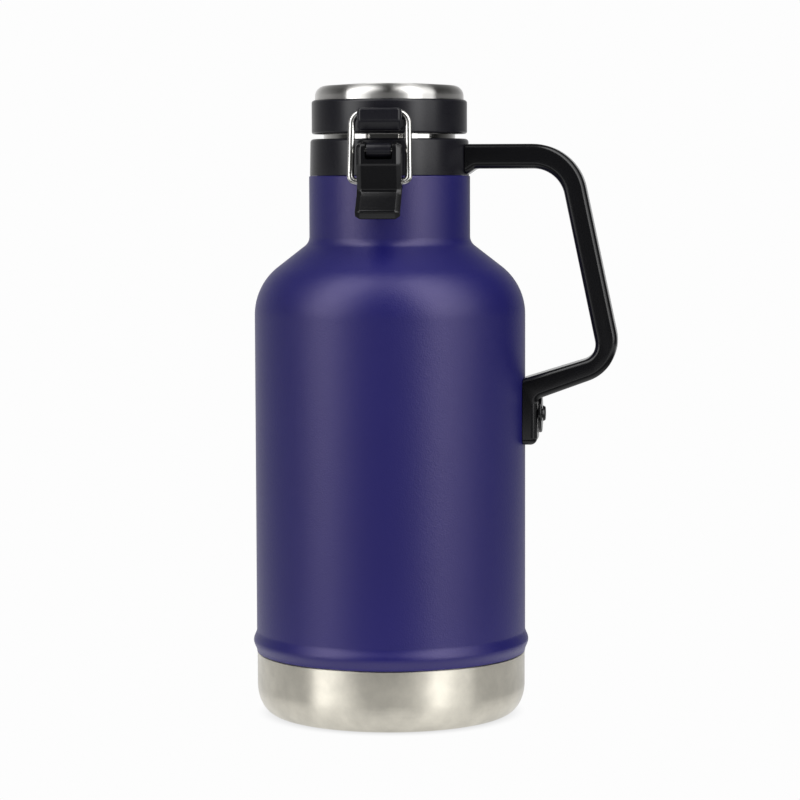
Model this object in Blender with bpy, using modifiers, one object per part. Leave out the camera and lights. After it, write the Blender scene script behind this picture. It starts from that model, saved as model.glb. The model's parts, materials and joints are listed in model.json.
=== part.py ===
"""A vacuum-walled growler with a hinged, latched lid and a D-shaped grip.

The origin is the centre of the base on the bottle's axis, +Z is up, the grip is along +X,
the latch faces -Y and the lid's hinge is at +Y. Sizes are in millimetres times MM, so in metres.
"""

import bmesh
import bpy
from math import acos, atan2, cos, hypot, pi, radians, sin, tan
from mathutils import Matrix, Vector

MM = 0.001
NAME = "growler"

# Driving dimensions, in millimetres
GAP = 0.3                      # clearance between pieces that touch or turn in each other
BODY_R = 60.0                  # radius of the straight wall
NECK_R = 35.6                  # radius of the painted neck
COLLAR_R = 35.2                # radius at the collar's foot
LID_R = 34.3                   # radius of the lid ring
CAP_R = 32.8                   # radius of the steel top
RIM_R = 29.1                   # outer radius of the mouth's rim
MOUTH_R = 27.3                 # inner radius of the mouth
WALL = 1.2                     # thickness of the outer wall
LINER = 1.0                    # thickness of the inner wall
VACUUM = 2.2                   # gap between the two walls

HEIGHT = 279.7                 # top of the lid
CAP_EDGE_Z = 278.3             # where the crown meets the cap's rounded side
LID_TOP_Z = 272.2
LID_Z = 257.4                  # underside of the lid ring
COLLAR_TOP_Z = 255.2
COLLAR_Z = 239.4               # foot of the collar
BODY_TOP_Z = 177.8             # where the straight wall starts to round into the shoulder
CONE_POINT = (43.7, 203.5)     # radius and height of a point on the shoulder's cone
CONE_SLOPE = 1.288             # radius gained per height lost on the cone
BEAD_Z = 32.7                  # middle of the rolled bead
BEAD_HALF = 4.8
BEAD_RISE = 1.4
PAINT_Z = 27.9                 # lower edge of the painted wall
BASE_R = 59.8                  # radius of the bare base
FOOT_R_DROP = 8.5              # how far in the foot's rounding runs
FOOT_Z = 13.0                  # how high it runs

HINGE = (0.0, 42.0, 256.6)     # lid hinge's axis, along X
PIVOT = (0.0, -41.0, 250.0)    # lever's axis, along X
BAIL = (0.0, -39.4, 236.3)     # bail's lower axis in the lever, along X
SCREW_Z = 134.0                # height of the grip's screw

ROUND = 40                     # sides of a large turned piece that shows
INNER_ROUND = 32               # sides of a large one inside
SMALL_ROUND = 20               # sides of a small one
SMALLEST_ROUND = 0.05          # radius of a corner whose rounding an inset has used up


# ---------------------------------------------------------------- scene and materials

def clear_scene():
    for thing in list(bpy.data.objects):
        bpy.data.objects.remove(thing, do_unlink=True)


def collection(name):
    made = bpy.data.collections.new(name)
    bpy.context.scene.collection.children.link(made)
    return made


def material(name, colour, metallic, roughness):
    made = bpy.data.materials.new(name)
    made.use_nodes = True
    shader = made.node_tree.nodes["Principled BSDF"]
    shader.inputs["Base Color"].default_value = (*colour, 1.0)
    shader.inputs["Metallic"].default_value = metallic
    shader.inputs["Roughness"].default_value = roughness
    made.diffuse_color = (*colour, 1.0)
    return made


clear_scene()
PARTS = collection(NAME)
CUTTERS = collection("cutters")

INDIGO = ((0.024, 0.020, 0.14), 0.0, 0.5)
BRUSHED = ((0.58, 0.56, 0.53), 1.0, 0.35)
POLISHED = ((0.72, 0.71, 0.70), 1.0, 0.15)
CHARCOAL = ((0.030, 0.030, 0.033), 0.0, 0.5)
BLACK = ((0.012, 0.012, 0.013), 0.0, 0.35)
SILICONE = ((0.55, 0.55, 0.55), 0.0, 0.6)
FOAM = ((0.80, 0.79, 0.74), 0.0, 0.9)


# ---------------------------------------------------------------- outlines

def filleted(corners, closed=False, arc_step=radians(20)):
    """Points of a polyline whose corners (x, y, radius) are rounded by true arcs."""
    points = []
    count = len(corners)
    for i, (x, y, radius) in enumerate(corners):
        at_end = not closed and i in (0, count - 1)
        if radius <= 0 or at_end:
            points.append((x, y))
            continue
        here = Vector((x, y))
        before = (Vector(corners[i - 1][:2]) - here).normalized()
        after = (Vector(corners[(i + 1) % count][:2]) - here).normalized()
        opening = acos(max(-1.0, min(1.0, before.dot(after))))
        reach = radius / tan(opening / 2)
        centre = here + (before + after).normalized() * (radius / sin(opening / 2))
        start = here + before * reach - centre
        end = here + after * reach - centre
        turn = atan2(start.cross(end), start.dot(end))
        steps = max(2, round(abs(turn) / arc_step))
        first = atan2(start.y, start.x)
        for k in range(steps + 1):
            angle = first + turn * k / steps
            points.append((centre.x + radius * cos(angle), centre.y + radius * sin(angle)))
    return points


def cone_radius_at(z, inset=0.0):
    """Radius of the shoulder's cone at a height, moved inwards by inset along its normal."""
    slant = hypot(1.0, CONE_SLOPE)
    radius, height = CONE_POINT
    radius -= inset / slant
    height -= inset * CONE_SLOPE / slant
    return radius + (height - z) * CONE_SLOPE


def cone_height_at(r, inset=0.0):
    return (cone_radius_at(0.0, inset) - r) / CONE_SLOPE


def shoulder_fillet(body_r, inset):
    """Radius of the arc from the cone into the straight wall, ending at BODY_TOP_Z."""
    half_turn = atan2(CONE_SLOPE, 1.0) / 2
    return (cone_height_at(body_r, inset) - BODY_TOP_Z) / tan(half_turn)


# ---------------------------------------------------------------- making objects

def finish(thing, look, sharp=radians(35)):
    """Its own material, smooth shading and a place in the parts' collection."""
    for home in list(thing.users_collection):
        home.objects.unlink(thing)
    PARTS.objects.link(thing)
    thing.data.materials.clear()
    thing.data.materials.append(material(thing.name, *look))
    thing.data.shade_smooth()
    thing.data.set_sharp_from_angle(angle=sharp)
    return thing


def solid_from(source, name):
    """A closed mesh object made from source as the viewport evaluates it. source is removed."""
    bpy.context.view_layer.update()
    evaluated = source.evaluated_get(bpy.context.evaluated_depsgraph_get())
    mesh = bpy.data.meshes.new_from_object(evaluated)
    mesh.transform(source.matrix_world)
    bpy.data.objects.remove(source, do_unlink=True)
    work = bmesh.new()
    work.from_mesh(mesh)
    bmesh.ops.remove_doubles(work, verts=work.verts, dist=0.001 * MM)
    bmesh.ops.recalc_face_normals(work, faces=work.faces)
    work.to_mesh(mesh)
    work.free()
    made = bpy.data.objects.new(name, mesh)
    bpy.context.scene.collection.objects.link(made)
    return made


def turned(name, profile, steps=ROUND, closed=True):
    """A profile of (radius, height) turned about Z. It runs down the outer side, then up the inner."""
    mesh = bpy.data.meshes.new(name)
    edges = [(i, i + 1) for i in range(len(profile) - 1)]
    if closed:
        edges.append((len(profile) - 1, 0))
    mesh.from_pydata([(r * MM, 0, z * MM) for r, z in profile], edges, [])
    thing = bpy.data.objects.new(name, mesh)
    bpy.context.scene.collection.objects.link(thing)
    screw = thing.modifiers.new("turn", "SCREW")
    screw.axis = "Z"
    screw.steps = steps
    screw.render_steps = steps
    screw.use_merge_vertices = True
    screw.merge_threshold = 0.001 * MM
    return solid_from(thing, name)


def turned_along_x(name, profile, centre, steps=SMALL_ROUND, closed=True):
    """As turned, but (radius, distance) is about an axis along X through centre."""
    thing = turned(name, profile, steps, closed)
    thing.data.transform(Matrix.Rotation(pi / 2, 4, "Y"))
    thing.data.transform(Matrix.Translation(Vector(centre) * MM))
    return thing


def plate(name, outline, half, turn, place=(0, 0, 0), bevel=0.0, segments=2):
    """A flat outline thickened by half each way, its edges rounded, then turned and placed."""
    curve = bpy.data.curves.new(name, "CURVE")
    curve.dimensions = "2D"
    curve.fill_mode = "BOTH"
    curve.extrude = half * MM
    spline = curve.splines.new("POLY")
    spline.points.add(len(outline) - 1)
    for point, (x, y) in zip(spline.points, outline):
        point.co = (x * MM, y * MM, 0, 1)
    spline.use_cyclic_u = True
    thing = bpy.data.objects.new(name, curve)
    bpy.context.scene.collection.objects.link(thing)
    thing.rotation_euler = turn
    thing.location = Vector(place) * MM
    thing = solid_from(thing, name)
    if bevel:
        rounded(thing, bevel, segments)
    return thing


def inset_outline(corners, inset):
    """A closed outline's corners moved inwards: outer corners get tighter, hollow ones wider."""
    spots = [Vector(corner[:2]) for corner in corners]
    count = len(spots)
    area = sum(spots[i - 1].cross(spots[i]) for i in range(count))
    side = 1.0 if area > 0 else -1.0
    moved = []
    for i, (_, _, radius) in enumerate(corners):
        into = (spots[i] - spots[i - 1]).normalized()
        out = (spots[(i + 1) % count] - spots[i]).normalized()
        normals = Vector((-into.y - out.y, into.x + out.x)) * side
        spot = spots[i] + normals * (inset / (1.0 + into.dot(out)))
        outward = into.cross(out) * side > 0
        if radius > 0:
            radius = max(radius - inset, SMALLEST_ROUND) if outward else radius + inset
        moved.append((spot.x, spot.y, radius))
    return moved


def rounded_edge(half, radius, steps=3):
    """A quarter round as (distance from the middle, inset), from the side inwards."""
    angles = [pi / 2 * k / steps for k in range(steps + 1)]
    return [(half - radius * (1 - cos(a)), radius * (1 - sin(a))) for a in angles]


def lofted(name, corners, edge, turn):
    """A closed outline thickened both ways along its normal, with the shaped edge given."""
    layers = edge + [(-distance, inset) for distance, inset in reversed(edge)]
    rings = [filleted(inset_outline(corners, inset), closed=True) for _, inset in layers]
    count = len(rings[0])
    points = [(x * MM, y * MM, distance * MM)
              for ring, (distance, _) in zip(rings, layers) for x, y in ring]
    faces = [tuple(range(count)), tuple(range(len(points) - count, len(points)))]
    for start in range(0, len(points) - count, count):
        for i in range(count):
            after = (i + 1) % count
            faces.append((start + i, start + after, start + count + after, start + count + i))
    mesh = bpy.data.meshes.new(name)
    mesh.from_pydata(points, [], faces)
    thing = bpy.data.objects.new(name, mesh)
    bpy.context.scene.collection.objects.link(thing)
    thing.rotation_euler = turn
    return solid_from(thing, name)


def rounded(thing, width, segments=2, angle=radians(50)):
    bevel = thing.modifiers.new("round", "BEVEL")
    bevel.width = width * MM
    bevel.segments = segments
    bevel.limit_method = "ANGLE"
    bevel.angle_limit = angle
    bevel.use_clamp_overlap = True
    applied(thing)


def applied(thing):
    """The modifiers' result becomes the object's own mesh."""
    bpy.context.view_layer.update()
    evaluated = thing.evaluated_get(bpy.context.evaluated_depsgraph_get())
    mesh = bpy.data.meshes.new_from_object(evaluated)
    thing.modifiers.clear()
    thing.data = mesh


def block(name, low, high):
    """A box between two corners."""
    work = bmesh.new()
    bmesh.ops.create_cube(work, size=1.0)
    size = [(b - a) * MM for a, b in zip(low, high)]
    middle = [(a + b) / 2 * MM for a, b in zip(low, high)]
    bmesh.ops.scale(work, vec=size, verts=work.verts)
    bmesh.ops.translate(work, vec=middle, verts=work.verts)
    mesh = bpy.data.meshes.new(name)
    work.to_mesh(mesh)
    work.free()
    thing = bpy.data.objects.new(name, mesh)
    bpy.context.scene.collection.objects.link(thing)
    return thing


def rod_x(name, radius, half, centre, steps=SMALL_ROUND):
    """A plain cylinder along X."""
    profile = [(0, half), (radius, half), (radius, -half), (0, -half)]
    return turned_along_x(name, profile, centre, steps, closed=False)


def combined(thing, other, operation):
    """thing joined with (UNION) or cut by (DIFFERENCE) other, which becomes a hidden cutter."""
    for home in list(other.users_collection):
        home.objects.unlink(other)
    CUTTERS.objects.link(other)
    other.hide_render = True
    other.display_type = "WIRE"
    boolean = thing.modifiers.new(other.name, "BOOLEAN")
    boolean.operation = operation
    boolean.solver = "EXACT"
    boolean.object = other
    applied(thing)
    return thing


def pivoted(thing, empty):
    """Hung on an empty that stands on its joint's axis, without moving."""
    thing.parent = empty
    thing.matrix_parent_inverse = Matrix.Translation(-empty.location)


def axis_empty(name, centre):
    empty = bpy.data.objects.new(name, None)
    PARTS.objects.link(empty)
    empty.location = Vector(centre) * MM
    empty.empty_display_size = 10 * MM
    return empty


FACING_HANDLE = (pi / 2, 0, 0)           # outline (x, y) lies in X and Z
FACING_LATCH = (pi / 2, 0, -pi / 2)      # outline (x, y) lies in -Y and Z


# ---------------------------------------------------------------- the two walls

def wall_side(neck_r, body_r, inset, top_z, foot_z, neck_round):
    """Neck, shoulder and straight wall of one side of a wall, from the top down."""
    return filleted([
        (neck_r, top_z, 0),
        (neck_r, cone_height_at(neck_r, inset), neck_round),
        (body_r, cone_height_at(body_r, inset), shoulder_fillet(body_r, inset)),
        (body_r, foot_z, 0),
    ], arc_step=radians(13))


def bead():
    """The rolled bead's points, a raised cosine on the straight wall, from the top down."""
    points = []
    for k in range(BEAD_STEPS + 1):
        along = 2 * k / BEAD_STEPS - 1
        points.append((BODY_R + BEAD_RISE * cos(along * pi / 2) ** 2, BEAD_Z - along * BEAD_HALF))
    return points


THROAT_R = 32.0                # outer radius of the wall inside the collar
THROAT_TOP_Z = 249.5
NECK_ROUND = 5.3               # radius of the bend from the neck into the shoulder
LINER_NECK_ROUND = 6.0
STEP_CHAMFER = 0.7
BEAD_STEPS = 6
LAP = 6.0                      # how far the base cup reaches up inside the painted wall
STEP_Z = COLLAR_Z - GAP        # shelf of the wall that the collar stands on
LINER_NECK_R = MOUTH_R + LINER
LINER_BODY_R = BODY_R - WALL - VACUUM
LINER_INSET = WALL + VACUUM
LINER_FLOOR_Z = 8.0
LINER_FOOT_Z = 20.0            # where the liner's straight wall ends
FLOOR_BEND_R = 12.0
LINER_TOP_Z = 257.0
FLOOR_Z = 1.3                  # underside of the base cup's floor
FLOOR_TOP_Z = 2.5
PLATE_R = 46.0
SEAL_HOLE_R = 3.5
SEAL_FLANGE_R = 6.0
SEAL_FLANGE = 0.9              # thickness of the seal's flange
GETTER_R = 7.5
GETTER_CHAMFER = 1.2


def outer_shell():
    outer = wall_side(NECK_R, BODY_R, 0, STEP_Z, BEAD_Z + BEAD_HALF + 1, NECK_ROUND)[:-1]
    inner = wall_side(NECK_R - WALL, BODY_R - WALL, WALL, STEP_Z - WALL, PAINT_Z, NECK_ROUND + WALL)
    profile = [(THROAT_R, THROAT_TOP_Z), (THROAT_R, STEP_Z)]
    profile += [(NECK_R - STEP_CHAMFER, STEP_Z), (NECK_R, STEP_Z - STEP_CHAMFER)] + outer[1:] + bead()
    profile += [(BODY_R, PAINT_Z)] + inner[::-1]
    profile += [(THROAT_R - WALL, STEP_Z - WALL), (THROAT_R - WALL, THROAT_TOP_Z)]
    return finish(turned("outer_shell", profile), INDIGO)


def base_cup():
    lap_r = BODY_R - WALL - GAP
    foot_angles = [radians(angle) for angle in range(0, 91, 18)]
    foot = [(BASE_R - FOOT_R_DROP * (1 - cos(a)), FOOT_Z * (1 - sin(a))) for a in foot_angles]
    outer = [(lap_r, PAINT_Z + LAP), (lap_r, PAINT_Z - GAP), (BASE_R, PAINT_Z - GAP)]
    under = [(PLATE_R + GAP, 0), (PLATE_R + GAP, FLOOR_Z), (SEAL_HOLE_R, FLOOR_Z)]
    inside_r = lap_r - WALL
    inside = [(SEAL_HOLE_R, FLOOR_TOP_Z), (BASE_R - FOOT_R_DROP, FLOOR_TOP_Z),
              (inside_r - 2.0, 5.5), (inside_r, FOOT_Z), (inside_r, PAINT_Z + LAP)]
    return finish(turned("base_cup", outer + foot + under + inside), BRUSHED)


def base_plate():
    chamfer = 0.3
    profile = [(0, FLOOR_Z - GAP), (PLATE_R, FLOOR_Z - GAP), (PLATE_R, chamfer),
               (PLATE_R - chamfer, 0), (0, 0)]
    return finish(turned("base_plate", profile, closed=False), BRUSHED)


def vacuum_seal():
    flange_z = FLOOR_TOP_Z + GAP
    low = FLOOR_Z + 0.1
    top = flange_z + SEAL_FLANGE
    profile = [(0, top), (SEAL_FLANGE_R, top), (SEAL_FLANGE_R, flange_z), (SEAL_HOLE_R - GAP, flange_z),
               (SEAL_HOLE_R - GAP, low), (0, low)]
    return finish(turned("vacuum_seal", profile, SMALL_ROUND, closed=False), BRUSHED)


def floor_bend(wall_r, floor_z, bend_r):
    """From the foot of a wall, round the bend, to the middle of the floor."""
    above = floor_z + 2 * bend_r
    return filleted([(wall_r, above, 0), (wall_r, floor_z, bend_r), (0, floor_z, 0)])[1:]


def inner_bottle():
    outer = wall_side(LINER_NECK_R, LINER_BODY_R, LINER_INSET, LINER_TOP_Z, LINER_FOOT_Z,
                      LINER_NECK_ROUND)[:-1]
    inner = wall_side(MOUTH_R, LINER_BODY_R - LINER, LINER_INSET + LINER, LINER_TOP_Z, LINER_FOOT_Z,
                      LINER_NECK_ROUND + LINER)[:-1]
    bend = floor_bend(LINER_BODY_R, LINER_FLOOR_Z, FLOOR_BEND_R)
    inside_bend = floor_bend(LINER_BODY_R - LINER, LINER_FLOOR_Z + LINER, FLOOR_BEND_R - LINER)
    profile = inside_bend[::-1] + inner[::-1] + outer + bend
    return finish(turned("inner_bottle", profile, INNER_ROUND, closed=False), BRUSHED)


def getter():
    top = LINER_FLOOR_Z - GAP
    low = top - 2 * GETTER_CHAMFER
    profile = [(0, top), (GETTER_R, top), (GETTER_R, low + GETTER_CHAMFER), (GETTER_R - GETTER_CHAMFER, low),
               (0, low)]
    return finish(turned("getter", profile, SMALL_ROUND, closed=False), BRUSHED)


RIM_TOP_Z = 259.4
RIM_ROUND = 0.8
FLANGE_Z = 251.0               # top of the rim's flange, clamped by the collar's lip
SKIRT_Z = 245.0                # foot of the mouth ring's skirt


def mouth_ring():
    rim = filleted([(MOUTH_R, LINER_TOP_Z + GAP, 0), (MOUTH_R, RIM_TOP_Z, RIM_ROUND),
                    (RIM_R, RIM_TOP_Z, RIM_ROUND), (RIM_R, FLANGE_Z, 0)], arc_step=radians(45))
    skirt_in = LINER_NECK_R + GAP
    skirt_out = THROAT_R - WALL - GAP
    profile = rim + [(THROAT_R, FLANGE_Z), (THROAT_R, THROAT_TOP_Z + GAP), (skirt_out, THROAT_TOP_Z + GAP),
                     (skirt_out, SKIRT_Z), (skirt_in, SKIRT_Z), (skirt_in, LINER_TOP_Z + GAP)]
    return finish(turned("mouth_ring", profile), POLISHED)


# ---------------------------------------------------------------- collar and grip

COLLAR_DRAFT = 0.3             # how much slimmer the collar is at its top
KNUCKLE_R = 4.0
PIN_R = 1.5
LID_KNUCKLE_HALF = 8.0
HINGE_HALF = 15.0
LATCH_PIN_R = 1.1
LUG_HALF = 5.3                 # half width of the collar's lug
LUG_R = 3.1                    # its radius about the lever's axis
TONGUE_HALF = 6.0              # the grip's tongue in the collar
TONGUE_DEPTH = 2.6
TONGUE_Z = (243.6, 250.4)
EAR_Z = (247.5, 255.1)         # heights of the arms that carry the collar's knuckles
EAR_ROOT_Y = 32.8
LUG_ROOT = 33.2                # how far out the lug starts, within the collar's wall
PAST = 2.0                     # how far a cutter runs past what it cuts


def knuckle(name, side_low, side_high, arm_low_z, arm_high_z, root_y):
    """One hinge knuckle with its arm reaching forward to the ring that carries it."""
    y, z = HINGE[1], HINGE[2]
    middle = (side_low + side_high) / 2
    half = (side_high - side_low) / 2
    barrel = rod_x(name, KNUCKLE_R, half, (middle, y, z))
    arm = block(name + "_arm", (side_low + 0.01, root_y, arm_low_z), (side_high - 0.01, y, arm_high_z))
    return combined(barrel, arm, "UNION")


def collar():
    bore = THROAT_R + GAP
    profile = filleted([
        (RIM_R + GAP, COLLAR_TOP_Z, 0), (COLLAR_R - COLLAR_DRAFT, COLLAR_TOP_Z, 1.5),
        (COLLAR_R, COLLAR_Z, 0.5), (bore, COLLAR_Z, 0), (bore, FLANGE_Z + GAP, 0),
        (RIM_R + GAP, FLANGE_Z + GAP, 0),
    ], closed=True, arc_step=radians(30))
    thing = turned("collar", profile)
    for side in (-1, 1):
        inner, outer = sorted((side * (LID_KNUCKLE_HALF + GAP), side * HINGE_HALF))
        ear = knuckle("collar_knuckle", inner, outer, *EAR_Z, EAR_ROOT_Y)
        combined(thing, ear, "UNION")
    reach, height = -PIVOT[1], PIVOT[2]
    outline = filleted([(LUG_ROOT, height - LUG_R, 0), (reach + LUG_R, height - LUG_R, LUG_R - 0.01),
                        (reach + LUG_R, height + LUG_R, LUG_R - 0.01), (LUG_ROOT, height + LUG_R, 0)],
                       closed=True)
    lug = plate("lug", outline, LUG_HALF, FACING_LATCH, bevel=0.4, segments=1)
    combined(thing, lug, "UNION")
    combined(thing, rod_x("hinge_bore", PIN_R + GAP, HINGE_HALF + PAST, HINGE), "DIFFERENCE")
    combined(thing, rod_x("latch_bore", LATCH_PIN_R + GAP, LUG_HALF + PAST, PIVOT), "DIFFERENCE")
    slot = block("slot", (COLLAR_R - TONGUE_DEPTH - GAP, -TONGUE_HALF - GAP, TONGUE_Z[0] - GAP),
                 (COLLAR_R + PAST, TONGUE_HALF + GAP, TONGUE_Z[1] + GAP))
    combined(thing, slot, "DIFFERENCE")
    return finish(thing, CHARCOAL)


GRIP_HALF = 9.75               # half the grip's width, along Y
GRIP_ROUND = 2.7
FOOT_X = 65.9                  # outer face of the grip's foot
FOOT_BOTTOM_Z = 120.6
WITHIN_X = 30.0                # the grip's outline starts within the bottle, which is then cut away
# The grip's outline in X and Z with the radius of each corner: its outer side, foot, then inner side
GRIP_OUTLINE = [
    (WITHIN_X, 252.8, 0), (82.9, 252.8, 24.0), (103.8, 154.6, 17.3), (FOOT_X, 140.8, 3.0),
    (FOOT_X, FOOT_BOTTOM_Z, 3.2), (52.0, FOOT_BOTTOM_Z, 0), (52.0, 147.4, 0), (92.5, 160.0, 7.3),
    (75.3, 242.0, 14.0), (38.6, 242.0, 3.0), (35.2, COLLAR_Z + 0.2, 0), (WITHIN_X, COLLAR_Z + 0.2, 0),
]
# The bottle and collar as the grip clears them: radius and height from the top down
BOTTLE_CLEARANCE = [
    (0, 262), (COLLAR_R + GAP, 262), (COLLAR_R + GAP, 234), (BODY_R - 6, 222), (BODY_R - 6, 190),
    (BODY_R + GAP, 170), (BODY_R + GAP, 110), (0, 110),
]
WASHER_R = 8.5
WASHER_X = 67.7                # outer face of the washer
SCREW_R = 2.0
BOSS_R = 4.0
BOSS_X = 63.6                  # end of the welded boss
SEAT_X = FOOT_X - 0.1          # the washer's seat, faced into the foot
INWARD_X = 55.0                # how far in the grip's bores start
OUTWARD_X = 75.0               # and how far out they end
THREAD_X = BODY_R + 0.9        # bottom of the boss's threaded hole
WASHER_CHAMFER = 0.6
SOCKET_R = 1.5
WALL_STEPS = 96                # sides of the cutter that shapes the boss to the wall


def cylinder_x(name, radius, low_x, high_x, z, steps=SMALL_ROUND):
    return rod_x(name, radius, (high_x - low_x) / 2, ((low_x + high_x) / 2, 0, z), steps)


def handle():
    thing = lofted("handle", GRIP_OUTLINE, rounded_edge(GRIP_HALF, GRIP_ROUND), FACING_HANDLE)
    combined(thing, turned("bottle_clearance", BOTTLE_CLEARANCE, closed=False), "DIFFERENCE")
    tongue = block("tongue", (COLLAR_R - TONGUE_DEPTH, -TONGUE_HALF, TONGUE_Z[0]),
                   (COLLAR_R + PAST, TONGUE_HALF, TONGUE_Z[1]))
    combined(thing, tongue, "UNION")
    seat_r, way_r, pocket_r = WASHER_R + GAP, SCREW_R + GAP, BOSS_R + GAP
    pocket_x = BOSS_X + GAP
    profile = [(0, OUTWARD_X), (seat_r, OUTWARD_X), (seat_r, SEAT_X), (way_r, SEAT_X), (way_r, pocket_x),
               (pocket_r, pocket_x), (pocket_r, INWARD_X), (0, INWARD_X)]
    bore = turned_along_x("fixing_bore", profile, (0, 0, SCREW_Z), INNER_ROUND, closed=False)
    combined(thing, bore, "DIFFERENCE")
    return finish(thing, BLACK)


def foot_boss():
    thing = cylinder_x("foot_boss", BOSS_R, BODY_R - PAST, BOSS_X, SCREW_Z)
    above, below = SCREW_Z + 2 * BOSS_R, SCREW_Z - 2 * BOSS_R
    clearance_r = BODY_R + GAP
    wall = turned("wall", [(0, above), (clearance_r, above), (clearance_r, below), (0, below)], WALL_STEPS,
                  closed=False)
    combined(thing, wall, "DIFFERENCE")
    thread = cylinder_x("thread", SCREW_R + GAP, THREAD_X, BOSS_X + PAST, SCREW_Z)
    combined(thing, thread, "DIFFERENCE")
    return finish(thing, BRUSHED)


def handle_washer():
    low, high = FOOT_X + GAP, WASHER_X
    profile = [(SCREW_R + GAP, high), (WASHER_R - WASHER_CHAMFER, high), (WASHER_R, high - WASHER_CHAMFER),
               (WASHER_R, low), (SCREW_R + GAP, low)]
    return finish(turned_along_x("handle_washer", profile, (0, 0, SCREW_Z), INNER_ROUND), BLACK)


def handle_screw():
    seat = WASHER_X + GAP
    head = filleted([(0, seat + 1.2, 0), (3.0, seat + 1.2, 0.8), (3.5, seat, 0)])
    tip = THREAD_X + 0.4
    profile = head + [(SCREW_R, seat), (SCREW_R, tip), (0, tip)]
    thing = turned_along_x("handle_screw", profile, (0, 0, SCREW_Z), SMALL_ROUND, closed=False)
    socket = cylinder_x("socket", SOCKET_R, seat + 0.5, OUTWARD_X, SCREW_Z, 6)
    return finish(combined(thing, socket, "DIFFERENCE"), BLACK)


# ---------------------------------------------------------------- lid

SKIRT_R = 30.0                 # inner radius of the lid ring's skirt
WEB_Z = (262.0, 265.3)         # the lid ring's web
PLUG_Z = 246.0                 # bottom of the plug
LID_SCREW_R = 1.9
CAP_THICK = 0.8
CAP_ROUND = 4.6                # radius of the cap's edge
CROWN = 1.2                    # how far the crown falls from its middle to the edge
CATCH_HALF = 9.7               # half the catch's width
CATCH_ROUND = 2.1
CATCH_ROOT = 27.0              # well inside the ring, which the root is then trimmed to
CATCH_FRONT = 41.8
CATCH_Z = (258.3, 268.1)
SLOT_FLOOR_Z = 262.9           # floor of the catch's slot, under the bail
SLOT_FRONT = 39.9              # inner face of the catch's lip
# The catch's side outline: distance out from the axis, height and the radius of each corner
CATCH_OUTLINE = [
    (CATCH_ROOT, CATCH_Z[0] + 0.8, 0.1), (CATCH_FRONT - 2.6, CATCH_Z[0], 1.5),
    (CATCH_FRONT, CATCH_Z[0] + 4.0, 3.0), (CATCH_FRONT, CATCH_Z[1], 1.2), (CATCH_ROOT, CATCH_Z[1], 0.1),
]
LID_ARM_Z = (258.2, 262.0)     # heights of the arm that carries the lid's knuckle
LID_ARM_ROOT_Y = 33.0
PLUG_R = 25.9                  # radius of the plug's neck
PLUG_SEAT_R = 26.3             # and where it fills the mouth
PLUG_FLOOR = 1.8               # thickness of the plug's floor
POST_R = 5.0                   # radius of the plug's screw post
POST_HOLE_Z = 251.0
GASKET_R = (26.2, 29.6)
GASKET_EDGE = 0.4
CROSS_HALF = (1.9, 0.4)        # half length and half width of the screw's cross recess


def lid_ring():
    recess = CAP_R + GAP
    profile = filleted([
        (recess, LID_TOP_Z, 0), (LID_R, LID_TOP_Z, 1.0), (LID_R, LID_Z, 0.7), (SKIRT_R, LID_Z, 0),
        (SKIRT_R, WEB_Z[0], 0), (LID_SCREW_R + GAP, WEB_Z[0], 0), (LID_SCREW_R + GAP, WEB_Z[1], 0),
        (recess, WEB_Z[1], 0),
    ], closed=True, arc_step=radians(30))
    thing = turned("lid_ring", profile)
    arm = knuckle("lid_knuckle", -LID_KNUCKLE_HALF, LID_KNUCKLE_HALF, *LID_ARM_Z, LID_ARM_ROOT_Y)
    combined(thing, arm, "UNION")
    catch = lofted("catch", CATCH_OUTLINE, rounded_edge(CATCH_HALF, CATCH_ROUND), FACING_LATCH)
    past = CATCH_HALF + PAST
    slot = block("catch_slot", (-past, -SLOT_FRONT, SLOT_FLOOR_Z), (past, 0, LID_TOP_Z))
    combined(catch, slot, "DIFFERENCE")
    core_r = LID_R - 0.6
    core = turned("core", [(0, LID_TOP_Z), (core_r, LID_TOP_Z), (core_r, LID_Z), (0, LID_Z)], closed=False)
    combined(catch, core, "DIFFERENCE")
    combined(thing, catch, "UNION")
    combined(thing, rod_x("pin_way", PIN_R + GAP, LID_KNUCKLE_HALF + PAST, HINGE), "DIFFERENCE")
    return finish(thing, CHARCOAL)


def cap_side(inset, low):
    """The cap's crown and rounded side, from the middle down to low."""
    bend_r = 0.6 * (CAP_R - CAP_ROUND)
    return filleted([(0, HEIGHT - inset, 0), (bend_r, HEIGHT - CROWN / 3 - inset, 60.0),
                     (CAP_R - inset, CAP_EDGE_Z - inset, CAP_ROUND - inset), (CAP_R - inset, low, 0)],
                    arc_step=radians(20))


def lid_cap():
    low = WEB_Z[1] + GAP
    outer = cap_side(0, low)
    inner = cap_side(CAP_THICK, low)
    return finish(turned("lid_cap", outer + inner[::-1], closed=False), POLISHED)


def lid_plug():
    top, floor = WEB_Z[0] - GAP, PLUG_Z + PLUG_FLOOR
    hole_r = LID_SCREW_R + GAP
    outer = [(PLUG_R, top), (PLUG_R, RIM_TOP_Z + 0.1), (PLUG_SEAT_R, RIM_TOP_Z + 0.1), (PLUG_SEAT_R, 256.0),
             (PLUG_SEAT_R - 1.0, PLUG_Z + 1.5), (PLUG_SEAT_R - 2.5, PLUG_Z), (0, PLUG_Z)]
    inner = [(0, POST_HOLE_Z), (hole_r, POST_HOLE_Z), (hole_r, top), (POST_R, top), (POST_R, floor),
             (PLUG_R - 2.5, floor), (PLUG_R - 1.8, top)]
    return finish(turned("lid_plug", inner + outer, INNER_ROUND, closed=False), CHARCOAL)


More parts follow.
